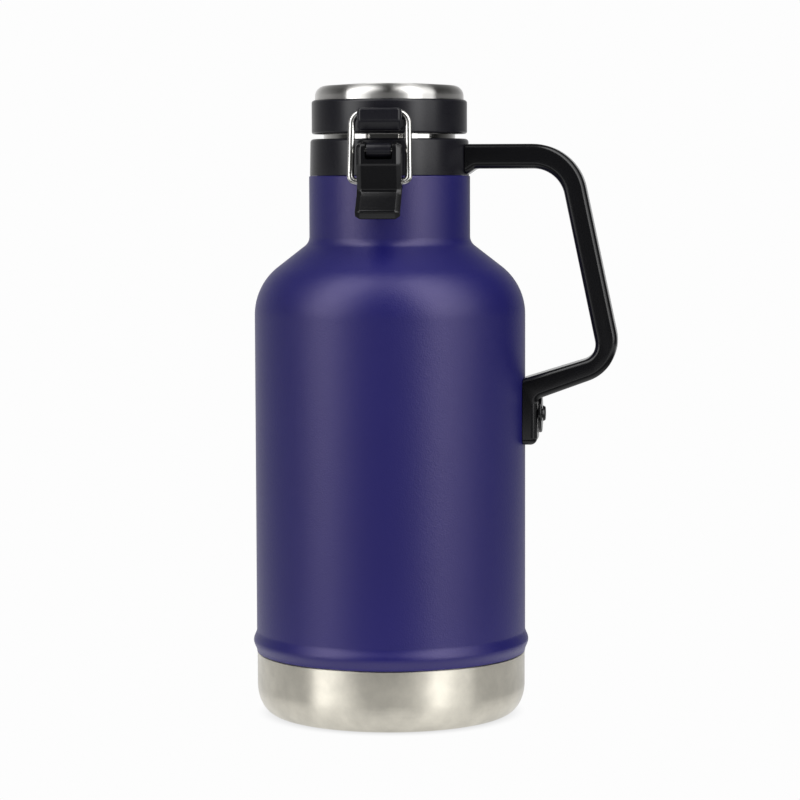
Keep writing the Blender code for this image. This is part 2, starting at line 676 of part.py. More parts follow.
def lid_insulation():
    low, high = PLUG_Z + PLUG_FLOOR + GAP, WEB_Z[0] - 2 * GAP
    inside_r = POST_R + GAP
    profile = [(inside_r, high), (PLUG_R - 2.2, high), (PLUG_R - 2.9, low), (inside_r, low)]
    return finish(turned("lid_insulation", profile, INNER_ROUND), FOAM)


def lid_gasket():
    low, high = RIM_TOP_Z + GAP, WEB_Z[0] - GAP
    inner, outer = GASKET_R
    edge_r = outer - GASKET_EDGE
    profile = [(inner, high), (edge_r, high), (outer, high - GASKET_EDGE), (outer, low + GASKET_EDGE),
               (edge_r, low), (inner, low)]
    return finish(turned("lid_gasket", profile, INNER_ROUND), SILICONE)


def lid_screw():
    seat = WEB_Z[1] + GAP
    head = filleted([(0, seat + 2.2, 0), (3.2, seat + 2.2, 1.0), (3.8, seat, 0)])
    tip = POST_HOLE_Z + 1.0
    profile = head + [(LID_SCREW_R, seat), (LID_SCREW_R, tip), (0, tip)]
    thing = turned("lid_screw", profile, SMALL_ROUND, closed=False)
    long, wide = CROSS_HALF
    for x, y in ((long, wide), (wide, long)):
        combined(thing, block("cross", (-x, -y, seat + 1.0), (x, y, seat + 4.0)), "DIFFERENCE")
    return finish(thing, BRUSHED)


def pin(name, radius, half, centre, look):
    chamfer = 0.3
    profile = [(0, half), (radius - chamfer, half), (radius, half - chamfer), (radius, chamfer - half),
               (radius - chamfer, -half), (0, -half)]
    return finish(turned_along_x(name, profile, centre, 16, closed=False), look)


# ---------------------------------------------------------------- latch

LEVER_HALF = 9.7
CHAMFER_WIDE = 2.1             # the lever's long edges slope back over this width
CHAMFER_DEEP = 1.2
NOTCH_HALF = LUG_HALF + 0.55   # half width of the lever's notch, which clears the lug
NOTCH_Z = 246.0
POCKET_HALF = 6.8
SLEEVE_R = 2.3
WIRE_R = 1.55
LEG_LOW = 12.65                # bail leg's distance from the middle, at its foot
LEG_HIGH = 12.1                # and at its top
CORNER_R = 4.5
ELBOW_R = 3.0
BAR_AT = (-36.9, 265.9)        # Y and Z of the bail's top bar
# The lever's side outline: distance out from the axis, height and the radius of each corner
LEVER_OUTLINE = [
    (36.4, 253.5, 3.0), (44.7, 253.5, 3.2), (44.9, 243.8, 6.0), (42.2, 232.4, 2.0), (50.9, 223.8, 1.2),
    (48.6, 219.9, 0.9), (36.2, 234.1, 1.5),
]
BEHIND_Y = -30.0               # the lever's cutters reach from here
BEFORE_Y = -50.0               # to here
POCKET_Y = -41.6               # bottom of the pocket behind the lever
POCKET_Z = (232.6, 244.4)


def latch_lever():
    chamfer = [(LEVER_HALF, CHAMFER_DEEP), (LEVER_HALF - CHAMFER_WIDE, 0)]
    thing = lofted("latch_lever", LEVER_OUTLINE, chamfer, FACING_LATCH)
    notch = block("notch", (-NOTCH_HALF, BEFORE_Y, NOTCH_Z), (NOTCH_HALF, BEHIND_Y, LID_Z))
    combined(thing, notch, "DIFFERENCE")
    low, high = POCKET_Z
    pocket = block("lever_pocket", (-POCKET_HALF, POCKET_Y, low), (POCKET_HALF, BEHIND_Y, high))
    combined(thing, pocket, "DIFFERENCE")
    combined(thing, rod_x("lever_pin_way", LATCH_PIN_R + GAP, LEVER_HALF + PAST, PIVOT), "DIFFERENCE")
    combined(thing, rod_x("lever_sleeve_way", SLEEVE_R + GAP, LEVER_HALF + PAST, BAIL), "DIFFERENCE")
    return finish(thing, BLACK)


def bail_sleeve():
    bore = WIRE_R + 0.25
    half = LEVER_HALF - 0.2
    profile = [(bore, half), (SLEEVE_R, half), (SLEEVE_R, -half), (bore, -half)]
    return finish(turned_along_x("bail_sleeve", profile, BAIL, 16), BRUSHED)


def latch_bail():
    """A bent wire: an open loop in the plane of the bail's axis and its top bar."""
    foot_y, foot_z = BAIL[1], BAIL[2]
    length = hypot(BAR_AT[0] - foot_y, BAR_AT[1] - foot_z)
    path = filleted([
        (-POCKET_HALF + 0.6, 0, 0), (-LEG_LOW, 0, ELBOW_R), (-LEG_HIGH, length, CORNER_R),
        (LEG_HIGH, length, CORNER_R), (LEG_LOW, 0, ELBOW_R), (POCKET_HALF - 0.6, 0, 0),
    ], arc_step=radians(18))
    curve = bpy.data.curves.new("latch_bail", "CURVE")
    curve.dimensions = "3D"
    curve.bevel_depth = WIRE_R * MM
    curve.bevel_resolution = 2
    curve.use_fill_caps = True
    spline = curve.splines.new("POLY")
    spline.points.add(len(path) - 1)
    for point, (x, up) in zip(spline.points, path):
        share = up / length
        y = foot_y + (BAR_AT[0] - foot_y) * share
        z = foot_z + (BAR_AT[1] - foot_z) * share
        point.co = (x * MM, y * MM, z * MM, 1)
    wire = bpy.data.objects.new("latch_bail", curve)
    bpy.context.scene.collection.objects.link(wire)
    return finish(solid_from(wire, "latch_bail"), POLISHED)


# ---------------------------------------------------------------- assembly

def build():
    outer_shell()
    base_cup()
    base_plate()
    vacuum_seal()
    inner_bottle()
    getter()
    mouth_ring()
    collar()
    handle()
    foot_boss()
    handle_washer()
    handle_screw()
    pin("hinge_pin", PIN_R, HINGE_HALF - 0.2, HINGE, BRUSHED)
    pin("latch_pin", LATCH_PIN_R, LEVER_HALF - 0.3, PIVOT, BRUSHED)
    lid_axis = axis_empty("lid_axis", HINGE)
    for thing in (lid_ring(), lid_cap(), lid_plug(), lid_insulation(), lid_gasket(), lid_screw()):
        pivoted(thing, lid_axis)
    lever_axis = axis_empty("lever_axis", PIVOT)
    pivoted(latch_lever(), lever_axis)
    bail_axis = axis_empty("bail_axis", BAIL)
    for thing in (bail_sleeve(), latch_bail()):
        pivoted(thing, bail_axis)


build()
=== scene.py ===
"""Looks of the growler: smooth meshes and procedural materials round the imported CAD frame.

Sizes of the object are in millimetres, and MM turns them into metres. The camera, lights and floor are in
metres. +Z is up, the grip is along +X, the latch faces -Y and the lid's hinge is at +Y.
"""

import json
from math import acos, atan2, cos, hypot, pi, radians, sin, tan

import bmesh
import bpy
from mathutils import Matrix, Vector


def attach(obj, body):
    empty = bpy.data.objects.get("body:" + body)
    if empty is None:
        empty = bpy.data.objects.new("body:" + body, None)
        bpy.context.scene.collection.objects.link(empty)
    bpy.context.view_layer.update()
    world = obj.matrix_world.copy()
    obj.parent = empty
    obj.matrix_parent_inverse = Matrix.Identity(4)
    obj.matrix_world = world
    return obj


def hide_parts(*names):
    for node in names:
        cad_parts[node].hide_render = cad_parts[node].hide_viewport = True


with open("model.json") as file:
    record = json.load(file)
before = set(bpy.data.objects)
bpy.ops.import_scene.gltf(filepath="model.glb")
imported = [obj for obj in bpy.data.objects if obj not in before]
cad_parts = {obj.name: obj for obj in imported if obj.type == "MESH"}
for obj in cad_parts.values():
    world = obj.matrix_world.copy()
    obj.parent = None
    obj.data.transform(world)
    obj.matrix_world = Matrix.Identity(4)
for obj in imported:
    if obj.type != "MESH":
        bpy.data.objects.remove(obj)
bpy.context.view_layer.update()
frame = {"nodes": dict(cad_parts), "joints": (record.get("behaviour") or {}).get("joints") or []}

MM = 0.001

# ---------------------------------------------------------------- sizes; the joints come from the frame

JOINT_AT = {joint["name"]: [c / MM for c in joint["pos_m"]] for joint in frame["joints"]}
HINGE = JOINT_AT["lid_hinge"]
PIVOT = JOINT_AT["latch_lever_pivot"]
BAIL = JOINT_AT["bail_swing"]

GAP = 0.3                                  # clearance between pieces that touch
WALL = 1.2                                 # thickness of the outer wall
LINER = 1.0                                # thickness of the inner bottle
VACUUM = 2.2                               # gap between the two
BODY_R = 60.0
NECK_R = 35.6
COLLAR_R = 35.2
RIM_R = 29.1
MOUTH_R = 27.3
CAP_R = 32.8                               # radius of the steel top
HEIGHT = 279.7
LID_R = 34.3
LID_Z = 257.4                              # underside of the lid ring
LID_TOP_Z = 272.2
CAP_EDGE_Z = 278.3                         # where the crown meets the cap's rounded side
CAP_THICK = 0.8
CAP_ROUND = 4.6
CROWN = 1.2                                # how far the crown falls from its middle to the edge
COLLAR_TOP_Z = 255.2
COLLAR_Z = 239.4
BODY_TOP_Z = 177.8
CONE_POINT = (43.7, 203.5)                 # radius and height of a point on the shoulder's cone
CONE_SLOPE = 1.288                         # how much its radius grows for each millimetre down
BEAD_Z = 32.7
BEAD_HALF = 4.8
BEAD_RISE = 1.4
BEAD_LEAD = 1.0                            # straight wall left above the bead
NECK_BEND_R = 5.3                          # where the neck meets the shoulder
NECK_EDGE_R = 0.7                          # the painted neck's top edge
PAINT_EDGE = 0.25                          # chamfer where the paint stops above the base
PAINT_Z = 27.9                             # the paint's lower edge
BASE_R = 59.8
FOOT_R_DROP = 8.5                          # how far in the foot's rounding comes
FOOT_Z = 13.0                              # and how high up it starts
FOOT_STEPS = 20
BASE_LAP = 6.0                             # how far the base reaches up inside the outer wall
BASE_EDGE = 0.3                            # chamfer of the base's top edge
BASE_FLOOR_Z = 2.5                         # top of the base's own floor
BASE_BEND = (2.0, 5.5)                     # its bend into the wall: distance in from the wall, and height
PLATE_EDGE = 0.3
SCREW_Z = 134.0

THROAT_R = 32.0                            # the outer wall's narrower neck, inside the collar
THROAT_TOP_Z = 249.5
STEP_Z = COLLAR_Z - GAP                    # the neck steps in here, under the collar
LINER_NECK_R = MOUTH_R + LINER
LINER_BODY_R = BODY_R - WALL - VACUUM
LINER_INSET = WALL + VACUUM
LINER_FLOOR_Z = 8.0
LINER_TOP_Z = 257.0
LINER_SIDE_Z = 20.0                        # lower end of its straight side
LINER_BEND_R = 6.0                         # its bend from the neck to the shoulder
LINER_ROUND = 128
FLOOR_BEND_R = 12.0
FLOOR_Z = 1.3
PLATE_R = 46.0
SEAL_HOLE_R = 3.5
RIM_TOP_Z = 259.4
RIM_ROUND = 0.85
RIM_SKIRT_Z = 245.0                        # lower end of the rim's skirt in the neck
FLANGE_Z = 251.0                           # top of the rim's flange, which sits on the throat

KNUCKLE_R = 4.0
PIN_R = 1.5
LID_KNUCKLE_HALF = 8.0
HINGE_HALF = 15.0
LATCH_PIN_R = 1.1
LUG_HALF = 5.3
LUG_R = 3.1
LUG_ROOT = 33.2                            # how far from the axis the latch's lug starts, within the collar
LUG_NOSE_R = LUG_R - 0.01                  # a hair under LUG_R, so that its two rounds don't meet
LUG_ROUND = 0.5
COLLAR_ROUND = 1.5
COLLAR_EDGE = 0.3
COLLAR_FOOT_Z = STEP_Z + 0.03              # just clear of the neck's step
KNUCKLE_EDGE = 0.35
KNUCKLE_ARM_INSET = 0.02                   # keeps the arm's sides off the barrel's end faces
KNUCKLE_ARM_ROUND = 0.3
EAR_ARM_Z = (247.5, HINGE[2] - 1.5)
EAR_ROOT = 32.8
LID_ARM_Z = (HINGE[2] + 1.6, 262.0)
LID_ARM_ROOT = 33.0
BORE_OVERRUN = 2.0                         # how far a bore's cutter runs past the piece

GRIP_HALF = 9.75
GRIP_ROUND = 2.7
FOOT_X = 65.9                              # outer face of the grip's foot
FOOT_BOTTOM_Z = 120.6
WITHIN_X = 30.0                            # the grip's outline starts within the bottle
# The grip's outline in X and Z with the radius of each corner: its outer side, foot, then inner side
GRIP_OUTLINE = [
    (WITHIN_X, 252.8, 0), (82.9, 252.8, 24.0), (103.8, 154.6, 18.5), (FOOT_X, 140.8, 3.0),
    (FOOT_X, FOOT_BOTTOM_Z, 3.2), (52.0, FOOT_BOTTOM_Z, 0), (52.0, 147.4, 0), (92.5, 160.0, 7.3),
    (75.3, 242.0, 14.0), (38.6, 242.0, 3.0), (35.2, COLLAR_Z + 0.2, 0), (WITHIN_X, COLLAR_Z + 0.2, 0),
]
# The bottle and collar as the grip clears them: radius and height from the top down
BOTTLE_CLEARANCE = [
    (0, 262), (COLLAR_R + GAP, 262), (COLLAR_R + GAP, 234), (BODY_R - 6, 222), (BODY_R - 6, 190),
    (BODY_R + GAP, 170), (BODY_R + GAP, 110), (0, 110),
]
WASHER_R = 8.5
WASHER_X = 67.7
WASHER_ROUND = (0.7, 0.2)                  # outer face's edge, then inner
WASHER_SIDES = 96
SEAT_X = FOOT_X - 0.1                      # the washer's seat, faced into the foot
INWARD_X = 55.0                            # how far in the grip's bores start
OUTWARD_X = 75.0                           # and how far out they end
SCREW_R = 2.0
SCREW_HEAD = (1.2, 3.0, 3.5, 0.8)          # height, radius of the top, radius of the seat, rounding
SCREW_END_X = BODY_R + 1.3
SOCKET_R = 1.5
SOCKET_FLOOR = 0.5                         # height of the socket's floor in the head
SOCKET_REACH = 4.0
SOCKET_SIDES = 6

CAP_BEND_SHARE = 0.6                       # the crown steepens at this share of its radius
CAP_BEND_R = 60.0
SKIRT_R = 30.0
WEB_Z = (262.0, 265.3)                     # lower and upper face of the lid ring's web
LID_ROUNDS = (0.2, 1.3, 1.0, 0.3)          # its edges: round the cap, top, bottom, foot of the skirt
PLUG_Z = 246.0
PLUG_SKIN = 1.8                            # thickness of its floor, and the round of its lower edge
PLUG_BEAD_Z = RIM_TOP_Z + 0.1
PLUG_BEAD_ROUND = 0.2
PLUG_TOP_R = 25.9
PLUG_SEAL_R = 26.3
PLUG_SEAL_Z = 256.0
PLUG_FOOT_R = 25.2
PLUG_INSIDE_R = (23.4, 24.1)               # at its floor, and at its top
POST_R = 5.0
POST_HOLE_Z = 251.0                        # bottom of the screw's hole in the post
GASKET_R = (26.2, 29.6)
GASKET_ROUND = (0.2, 0.8)
LID_SCREW_R = 1.9
CATCH_HALF = 9.7
CATCH_ROUND = 2.1
CATCH_ROOT = 27.0
CATCH_FRONT = 41.8
CATCH_Z = (258.3, 268.1)
# The catch's outline from the axis outwards, with the radius of each corner
CATCH_OUTLINE = [
    (CATCH_ROOT, CATCH_Z[0] + 0.8, 0.1), (CATCH_FRONT - 2.6, CATCH_Z[0], 1.5),
    (CATCH_FRONT, CATCH_Z[0] + 4, 3.0), (CATCH_FRONT, CATCH_Z[1], 1.2), (CATCH_ROOT, CATCH_Z[1], 0.1),
]
CATCH_CORE_INSET = 0.6                     # the lid ring's wall covers the catch's root from here in
SLOT_FLOOR_Z = 262.9
SLOT_FRONT = 39.9

# The lever's outline from the axis outwards, with the radius of each corner
LEVER_OUTLINE = [
    (36.4, 253.5, 3.0), (44.7, 253.5, 3.2), (44.9, 243.8, 6.0), (42.2, 232.4, 2.0), (50.9, 223.8, 1.2),
    (48.6, 219.9, 0.9), (36.2, 234.1, 1.5),
]
LEVER_HALF = 9.7
CHAMFER_WIDE = 2.1                         # the lever's edge slopes back over this width
CHAMFER_DEEP = 1.2
NOTCH_HALF = LUG_HALF + 0.55
NOTCH_Z = 246.0
NOTCH_DEPTH = (-50.0, -30.0)               # across Y; from in front of the lever to behind it
NOTCH_TOP_Z = 260.0
NOTCH_ROUND = 0.9
POCKET_HALF = 6.8
POCKET_DEPTH = (-41.6, -30.0)
POCKET_Z = (232.6, NOTCH_Z - 1.6)
LEVER_BORE_HALF = 12.0
CHAMFER_ROUND = (0.5, 0.8)                 # where the chamfer meets the lever's side and its front
SLEEVE_R = 2.3
SLEEVE_PLAY = 0.25                         # round the wire
SLEEVE_INSET = 0.2                         # how far its ends stop inside the lever's sides
SLEEVE_SIDES = 48
PIN_INSET = (0.2, 0.3)                     # how far the hinge's and the latch's pin stop inside the knuckles
PIN_SIDES = 40
WIRE_R = 1.55
LEG_LOW = 12.65
LEG_HIGH = 12.1
CORNER_R = 4.5
ELBOW_R = 3.0
LEG_END = POCKET_HALF - 0.6                # the wire's ends stop here in the pocket
BAR_AT = (-36.9, 265.9)

ROUND = 160                                # sides of a large turned piece
SMALL_ROUND = 64
WIRE_SMOOTH = 8                            # bevel resolution of the bail's wire
BEAD_STEPS = 20
FACING_HANDLE = (pi / 2, 0, 0)             # turns an outline's x and y to +X and +Z
FACING_LATCH = (pi / 2, 0, -pi / 2)        # and to -Y and +Z
SMALLEST_ROUND = 0.05                      # an outline's corner never gets sharper than this
FINE = radians(5)                          # arc step of an outline
EDGE_STEPS = 10                            # steps of a lofted piece's rounded edge
BEVEL_SEGMENTS = 4
BEVELLED_FROM = radians(50)                # edges that turn more than this are rounded
SHARP_FROM = radians(40)                   # and these shade as sharp
MERGE = 0.001                              # points closer than this are one

# ---------------------------------------------------------------- camera, stage and light

CAMERA_AZIMUTH = radians(6.0)              # round from the latch towards the grip
CAMERA_AWAY = 1.242                        # metres from the bottle's axis
CAMERA_HEIGHT = 0.2391
CAMERA_TILT = radians(4.585)
CAMERA_ASIDE = 0.00430                     # the camera stands this far to its right of the axis
CAMERA_ROLL = -0.0032
CAMERA_LENS = 125.93


def make_camera():
    data = bpy.data.cameras.new("camera")
    data.sensor_width = 36.0
    data.lens = CAMERA_LENS
    data.clip_start = 0.05
    data.clip_end = 50
    camera = bpy.data.objects.new("camera", data)
    bpy.context.scene.collection.objects.link(camera)
    away = Vector((sin(CAMERA_AZIMUTH), -cos(CAMERA_AZIMUTH), 0))
    right = Vector((cos(CAMERA_AZIMUTH), sin(CAMERA_AZIMUTH), 0))
    camera.location = away * CAMERA_AWAY + right * CAMERA_ASIDE + Vector((0, 0, CAMERA_HEIGHT))
    turn = Matrix.Rotation(CAMERA_AZIMUTH, 4, "Z")
    tip = Matrix.Rotation(pi / 2 - CAMERA_TILT, 4, "X")
    roll = Matrix.Rotation(CAMERA_ROLL, 4, "Z")
    camera.rotation_euler = (turn @ tip @ roll).to_euler()
    bpy.context.scene.camera = camera


# Lights, in metres: name, degrees round from the camera, distance from the axis, height of the centre, width,
# height and radiance
SOFTBOXES = [
    ("left softbox", -52, 1.5, 1.25, 1.20, 2.9, 1.6),
    ("left strip", -59, 1.4, 1.15, 0.70, 3.1, 1.95),
    ("right softbox", 54, 1.5, 1.25, 1.50, 2.9, 1.7),
    ("right strip", 40, 1.4, 1.15, 0.66, 3.1, 2.2),
]
LIGHT_AIM_Z = 0.16                         # they face the axis at this height


def softbox(name, azimuth, away, centre_z, width, tall, radiance):
    """A rectangular area light of even brightness, at an angle round from the camera."""
    data = bpy.data.lights.new(name, "AREA")
    data.shape = "RECTANGLE"
    data.size = width
    data.size_y = tall
    data.energy = radiance * pi * width * tall
    light = bpy.data.objects.new(name, data)
    bpy.context.scene.collection.objects.link(light)
    light.visible_camera = False
    angle = CAMERA_AZIMUTH + radians(azimuth)
    light.location = (sin(angle) * away, -cos(angle) * away, centre_z)
    aim = Vector((0, 0, LIGHT_AIM_Z)) - light.location
    light.rotation_euler = aim.to_track_quat("-Z", "Y").to_euler()


RANGE_SOCKETS = ("From Min", "From Max", "To Min", "To Max")
WHITE = 0.982                              # what the camera sees past the object
# Brightness of the surroundings from straight in front of the object (0) to straight behind it (1)
BACKDROP = [(0.0, 0.03), (0.50, 0.04), (0.54, 0.08), (0.61, 0.17), (0.74, 0.28), (0.87, 0.46), (1.0, 0.80)]
ZENITH = 0.02
NADIR = 0.85                               # straight below
FLOOR_R = 0.12                             # metres
UNDER_SHADE = 0.50                         # brightness of the floor right under the foot
UNDER_R = (0.042, 0.061)                   # where that shade starts to fade, and where it has gone
FLOOR_SIDES = 96
FLOOR_DROP = 0.0002                        # the floor lies this far under the foot
# Where each part of the surroundings sets in and is full, as the sine of the angle above the horizon
HIGH_FROM, HIGH_FULL = 0.15, 0.6
NADIR_FROM, NADIR_FULL = -0.55, -0.95
GLOW_FROM, GLOW_FULL = -0.11, -0.19
GLOW_WANES, GLOW_GONE = -0.22, -0.40
FLOOR_GLOW = 1.20                          # the lit floor seen at a glancing angle, just under the horizon
RIGHT_DIMMING = 0.75                       # how much darker the surroundings are straight to the right
HIGH_DIMMING = 0.55                        # and well above the backdrop


def make_world():
    """Dark in front, bright low behind, and an even white where the camera looks past the object."""
    world = bpy.data.worlds.new("studio")
    bpy.context.scene.world = world
    world.use_nodes = True
    nodes, links = world.node_tree.nodes, world.node_tree.links
    nodes.clear()
    place = nodes.new("ShaderNodeTexCoord")

    def along(direction):
        node = nodes.new("ShaderNodeVectorMath")
        node.operation = "DOT_PRODUCT"
        node.inputs[1].default_value = direction
        links.new(place.outputs["Generated"], node.inputs[0])
        return node.outputs["Value"]

    def ranged(value, from_low, from_high, to_low, to_high):
        node = nodes.new("ShaderNodeMapRange")
        for name, number in zip(RANGE_SOCKETS, (from_low, from_high, to_low, to_high)):
            node.inputs[name].default_value = number
        links.new(value, node.inputs["Value"])
        return node.outputs["Result"]

    def calculated(operation, first, second):
        node = nodes.new("ShaderNodeMath")
        node.operation = operation
        links.new(first, node.inputs[0])
        links.new(second, node.inputs[1])
        return node.outputs[0]

    behind = along((-sin(CAMERA_AZIMUTH), cos(CAMERA_AZIMUTH), 0.0))
    right = along((cos(CAMERA_AZIMUTH), sin(CAMERA_AZIMUTH), 0.0))
    up = along((0.0, 0.0, 1.0))
    ramp = nodes.new("ShaderNodeValToRGB")
    stops = ramp.color_ramp.elements
    for _ in BACKDROP[2:]:
        stops.new(0.5)
    for stop, (position, level) in zip(stops, BACKDROP):
        stop.position = position
        stop.color = (level, level, level, 1)
    links.new(ranged(behind, -1.0, 1.0, 0.0, 1.0), ramp.inputs[0])
    level = calculated("MULTIPLY", ramp.outputs[0], ranged(right, 0.0, 1.0, 1.0, 1.0 - RIGHT_DIMMING))
    level = calculated("MULTIPLY", level, ranged(up, HIGH_FROM, HIGH_FULL, 1.0, 1.0 - HIGH_DIMMING))
    level = calculated("ADD", level, ranged(up, HIGH_FULL, 1.0, 0.0, ZENITH))
    level = calculated("ADD", level, ranged(up, NADIR_FROM, NADIR_FULL, 0.0, NADIR))
    glow = calculated("MULTIPLY", ranged(up, GLOW_FROM, GLOW_FULL, 0.0, FLOOR_GLOW),
                      ranged(up, GLOW_WANES, GLOW_GONE, 1.0, 0.0))
    level = calculated("MAXIMUM", level, glow)
    lit = nodes.new("ShaderNodeBackground")
    links.new(level, lit.inputs["Color"])
    seen = nodes.new("ShaderNodeBackground")
    seen.inputs["Color"].default_value = (WHITE, WHITE, WHITE, 1)
    ray = nodes.new("ShaderNodeLightPath")
    mix = nodes.new("ShaderNodeMixShader")
    links.new(ray.outputs["Is Camera Ray"], mix.inputs[0])
    links.new(lit.outputs[0], mix.inputs[1])
    links.new(seen.outputs[0], mix.inputs[2])
    out = nodes.new("ShaderNodeOutputWorld")
    links.new(mix.outputs[0], out.inputs["Surface"])


def make_stage():
    """A pale disc as bright as the backdrop, so it has no edge, a little shaded right under the foot."""
    bpy.ops.mesh.primitive_circle_add(vertices=FLOOR_SIDES, radius=FLOOR_R, fill_type="NGON",
                                      location=(0, 0, -FLOOR_DROP))
    floor = bpy.context.object
    floor.name = "floor"
    made = bpy.data.materials.new("floor")
    made.use_nodes = True
    shader = made.node_tree.nodes["Principled BSDF"]
    shader.inputs["Base Color"].default_value = (0, 0, 0, 1)
    shader.inputs["Roughness"].default_value = 1.0
    shader.inputs["Specular IOR Level"].default_value = 0.0
    shader.inputs["Emission Color"].default_value = (WHITE, WHITE, WHITE, 1)
    nodes, links = made.node_tree.nodes, made.node_tree.links
    place = nodes.new("ShaderNodeTexCoord")
    reach = nodes.new("ShaderNodeVectorMath")
    reach.operation = "LENGTH"
    links.new(place.outputs["Object"], reach.inputs[0])
    fade = nodes.new("ShaderNodeMapRange")
    fade.interpolation_type = "SMOOTHSTEP"
    for name, number in zip(RANGE_SOCKETS, (*UNDER_R, UNDER_SHADE, 1.0)):
        fade.inputs[name].default_value = number
    links.new(reach.outputs["Value"], fade.inputs["Value"])
    links.new(fade.outputs["Result"], shader.inputs["Emission Strength"])
    floor.data.materials.append(made)


# ---------------------------------------------------------------- procedural materials

NOISE_RANGE = (0.3, 0.7)                   # most noise values lie in here
QUARTER_TURN = 0.25                        # turns the stretched highlight from round the axis to along it
PAINT_COLOURS = ((0.0034, 0.0034, 0.103), (0.0056, 0.0051, 0.116))
PAINT_TINT = (0.84, 0.74, 1.0)             # the coat's gloss is violet
PAINT_GLOSS = 0.80
PAINT_ROUGH = (0.38, 0.46)
POLISH_COLOURS = ((0.69, 0.68, 0.655), (0.75, 0.74, 0.72))
BRUSHED_STAIN = (0.84, 1.05)               # the steel's darkest and lightest stain, as shares of its colour


class Nodes:
    """Short names for wiring one material's nodes, with the surface point in millimetres as its input."""

    def __init__(self, name):
        self.material = bpy.data.materials.new(name)
        self.material.use_nodes = True
        self.tree = self.material.node_tree
        self.shader = self.tree.nodes["Principled BSDF"]
        place = self.tree.nodes.new("ShaderNodeTexCoord")
        self.point = self.stretched(place.outputs["Object"], (1000, 1000, 1000))

    def stretched(self, vector, scale):
        node = self.tree.nodes.new("ShaderNodeVectorMath")
        node.operation = "MULTIPLY"
        node.inputs[1].default_value = scale
        self.tree.links.new(vector, node.inputs[0])
        return node.outputs[0]

    def noise(self, scale, detail, stretch=(1, 1, 1), roughness=0.5):
        """Noise of about 1 / scale millimetres."""
        node = self.tree.nodes.new("ShaderNodeTexNoise")
        node.inputs["Scale"].default_value = scale
        node.inputs["Detail"].default_value = detail
        node.inputs["Roughness"].default_value = roughness
        vector = self.point if stretch == (1, 1, 1) else self.stretched(self.point, stretch)
        self.tree.links.new(vector, node.inputs["Vector"])
        return node.outputs["Fac"]

    def ranged(self, value, low, high):
        """Most of a noise's range spread over low to high."""
        node = self.tree.nodes.new("ShaderNodeMapRange")
        for name, number in zip(RANGE_SOCKETS, (*NOISE_RANGE, low, high)):
            node.inputs[name].default_value = number
        self.tree.links.new(value, node.inputs["Value"])
        return node.outputs["Result"]

    def mixed(self, share, first, second):
        node = self.tree.nodes.new("ShaderNodeMix")
        node.data_type = "RGBA"
        node.inputs["A"].default_value = (*first, 1)
        node.inputs["B"].default_value = (*second, 1)
        self.tree.links.new(share, node.inputs["Factor"])
        return node.outputs["Result"]

    def bump(self, height, strength, distance_mm, below=None):
        node = self.tree.nodes.new("ShaderNodeBump")
        node.inputs["Strength"].default_value = strength
        node.inputs["Distance"].default_value = distance_mm * MM
        self.tree.links.new(height, node.inputs["Height"])
        if below is not None:
            self.tree.links.new(below, node.inputs["Normal"])
        return node.outputs["Normal"]

    def set(self, name, value):
        """A number or colour on the shader's own socket, or a link to it."""
        socket = self.shader.inputs[name]
        if isinstance(value, bpy.types.NodeSocket):
            self.tree.links.new(value, socket)
        elif isinstance(value, tuple):
            socket.default_value = (*value, 1)
        else:
            socket.default_value = value


def powder_coat():
    """Indigo powder coat: fine orange peel under a finer grain, with a slow drift of colour."""
    made = Nodes("indigo powder coat")
    drift = made.noise(scale=0.03, detail=2.0)
    made.set("Base Color", made.mixed(drift, *PAINT_COLOURS))
    grain = made.noise(scale=1.5, detail=2.0)
    made.set("Roughness", made.ranged(grain, *PAINT_ROUGH))
    made.set("Specular IOR Level", PAINT_GLOSS)
    made.set("Specular Tint", PAINT_TINT)
    orange_peel = made.bump(made.noise(scale=0.40, detail=2.0), strength=0.5, distance_mm=0.06)
    made.set("Normal", made.bump(grain, strength=0.8, distance_mm=0.085, below=orange_peel))
    return made.material


def brushed_steel(name, colour, rough, anisotropic=0.7):
    """Steel brushed round the axis, so the scratches are long round it and the highlight runs along it."""
    made = Nodes(name)
    lines = made.noise(scale=1.0, detail=4.0, stretch=(0.02, 0.02, 6.0), roughness=0.7)
    stain = made.noise(scale=0.09, detail=4.0, roughness=0.6)
    dark, light = (tuple(share * c for c in colour) for share in BRUSHED_STAIN)
    made.set("Base Color", made.mixed(made.ranged(stain, 0.0, 1.0), dark, light))
    made.set("Metallic", 1.0)
    made.set("Roughness", made.ranged(lines, rough - 0.05, rough + 0.07))
    made.set("Anisotropic", anisotropic)
    made.set("Anisotropic Rotation", QUARTER_TURN)
    made.set("Normal", made.bump(lines, strength=0.20, distance_mm=0.015))
    return made.material


def polished_steel(name, rough=0.09, anisotropic=0.0):
    """Polished steel; anisotropic above 0 gives the streaks of a spun finish, across its fine rings."""
    made = Nodes(name)
    haze = made.noise(scale=0.12, detail=4.0)
    made.set("Base Color", made.mixed(haze, *POLISH_COLOURS))
    made.set("Metallic", 1.0)
    made.set("Roughness", made.ranged(haze, rough - 0.02, rough + 0.03))
    made.set("Anisotropic", anisotropic)
    made.set("Anisotropic Rotation", QUARTER_TURN)
    ripple = made.noise(scale=0.9, detail=3.0)
    made.set("Normal", made.bump(ripple, strength=0.04, distance_mm=0.01))
    return made.material


def moulded_plastic(name, colour, rough, specular=0.5):
    """Moulded plastic with an even fine grain, a little cloudy."""
    made = Nodes(name)
    cloud = made.noise(scale=0.08, detail=3.0)
    lighter = tuple(1.25 * c for c in colour)
    made.set("Base Color", made.mixed(cloud, colour, lighter))
    grain = made.noise(scale=3.5, detail=2.0)
    made.set("Roughness", made.ranged(grain, rough - 0.04, rough + 0.04))
    made.set("Specular IOR Level", specular)
    made.set("Normal", made.bump(grain, strength=0.3, distance_mm=0.015))
    return made.material


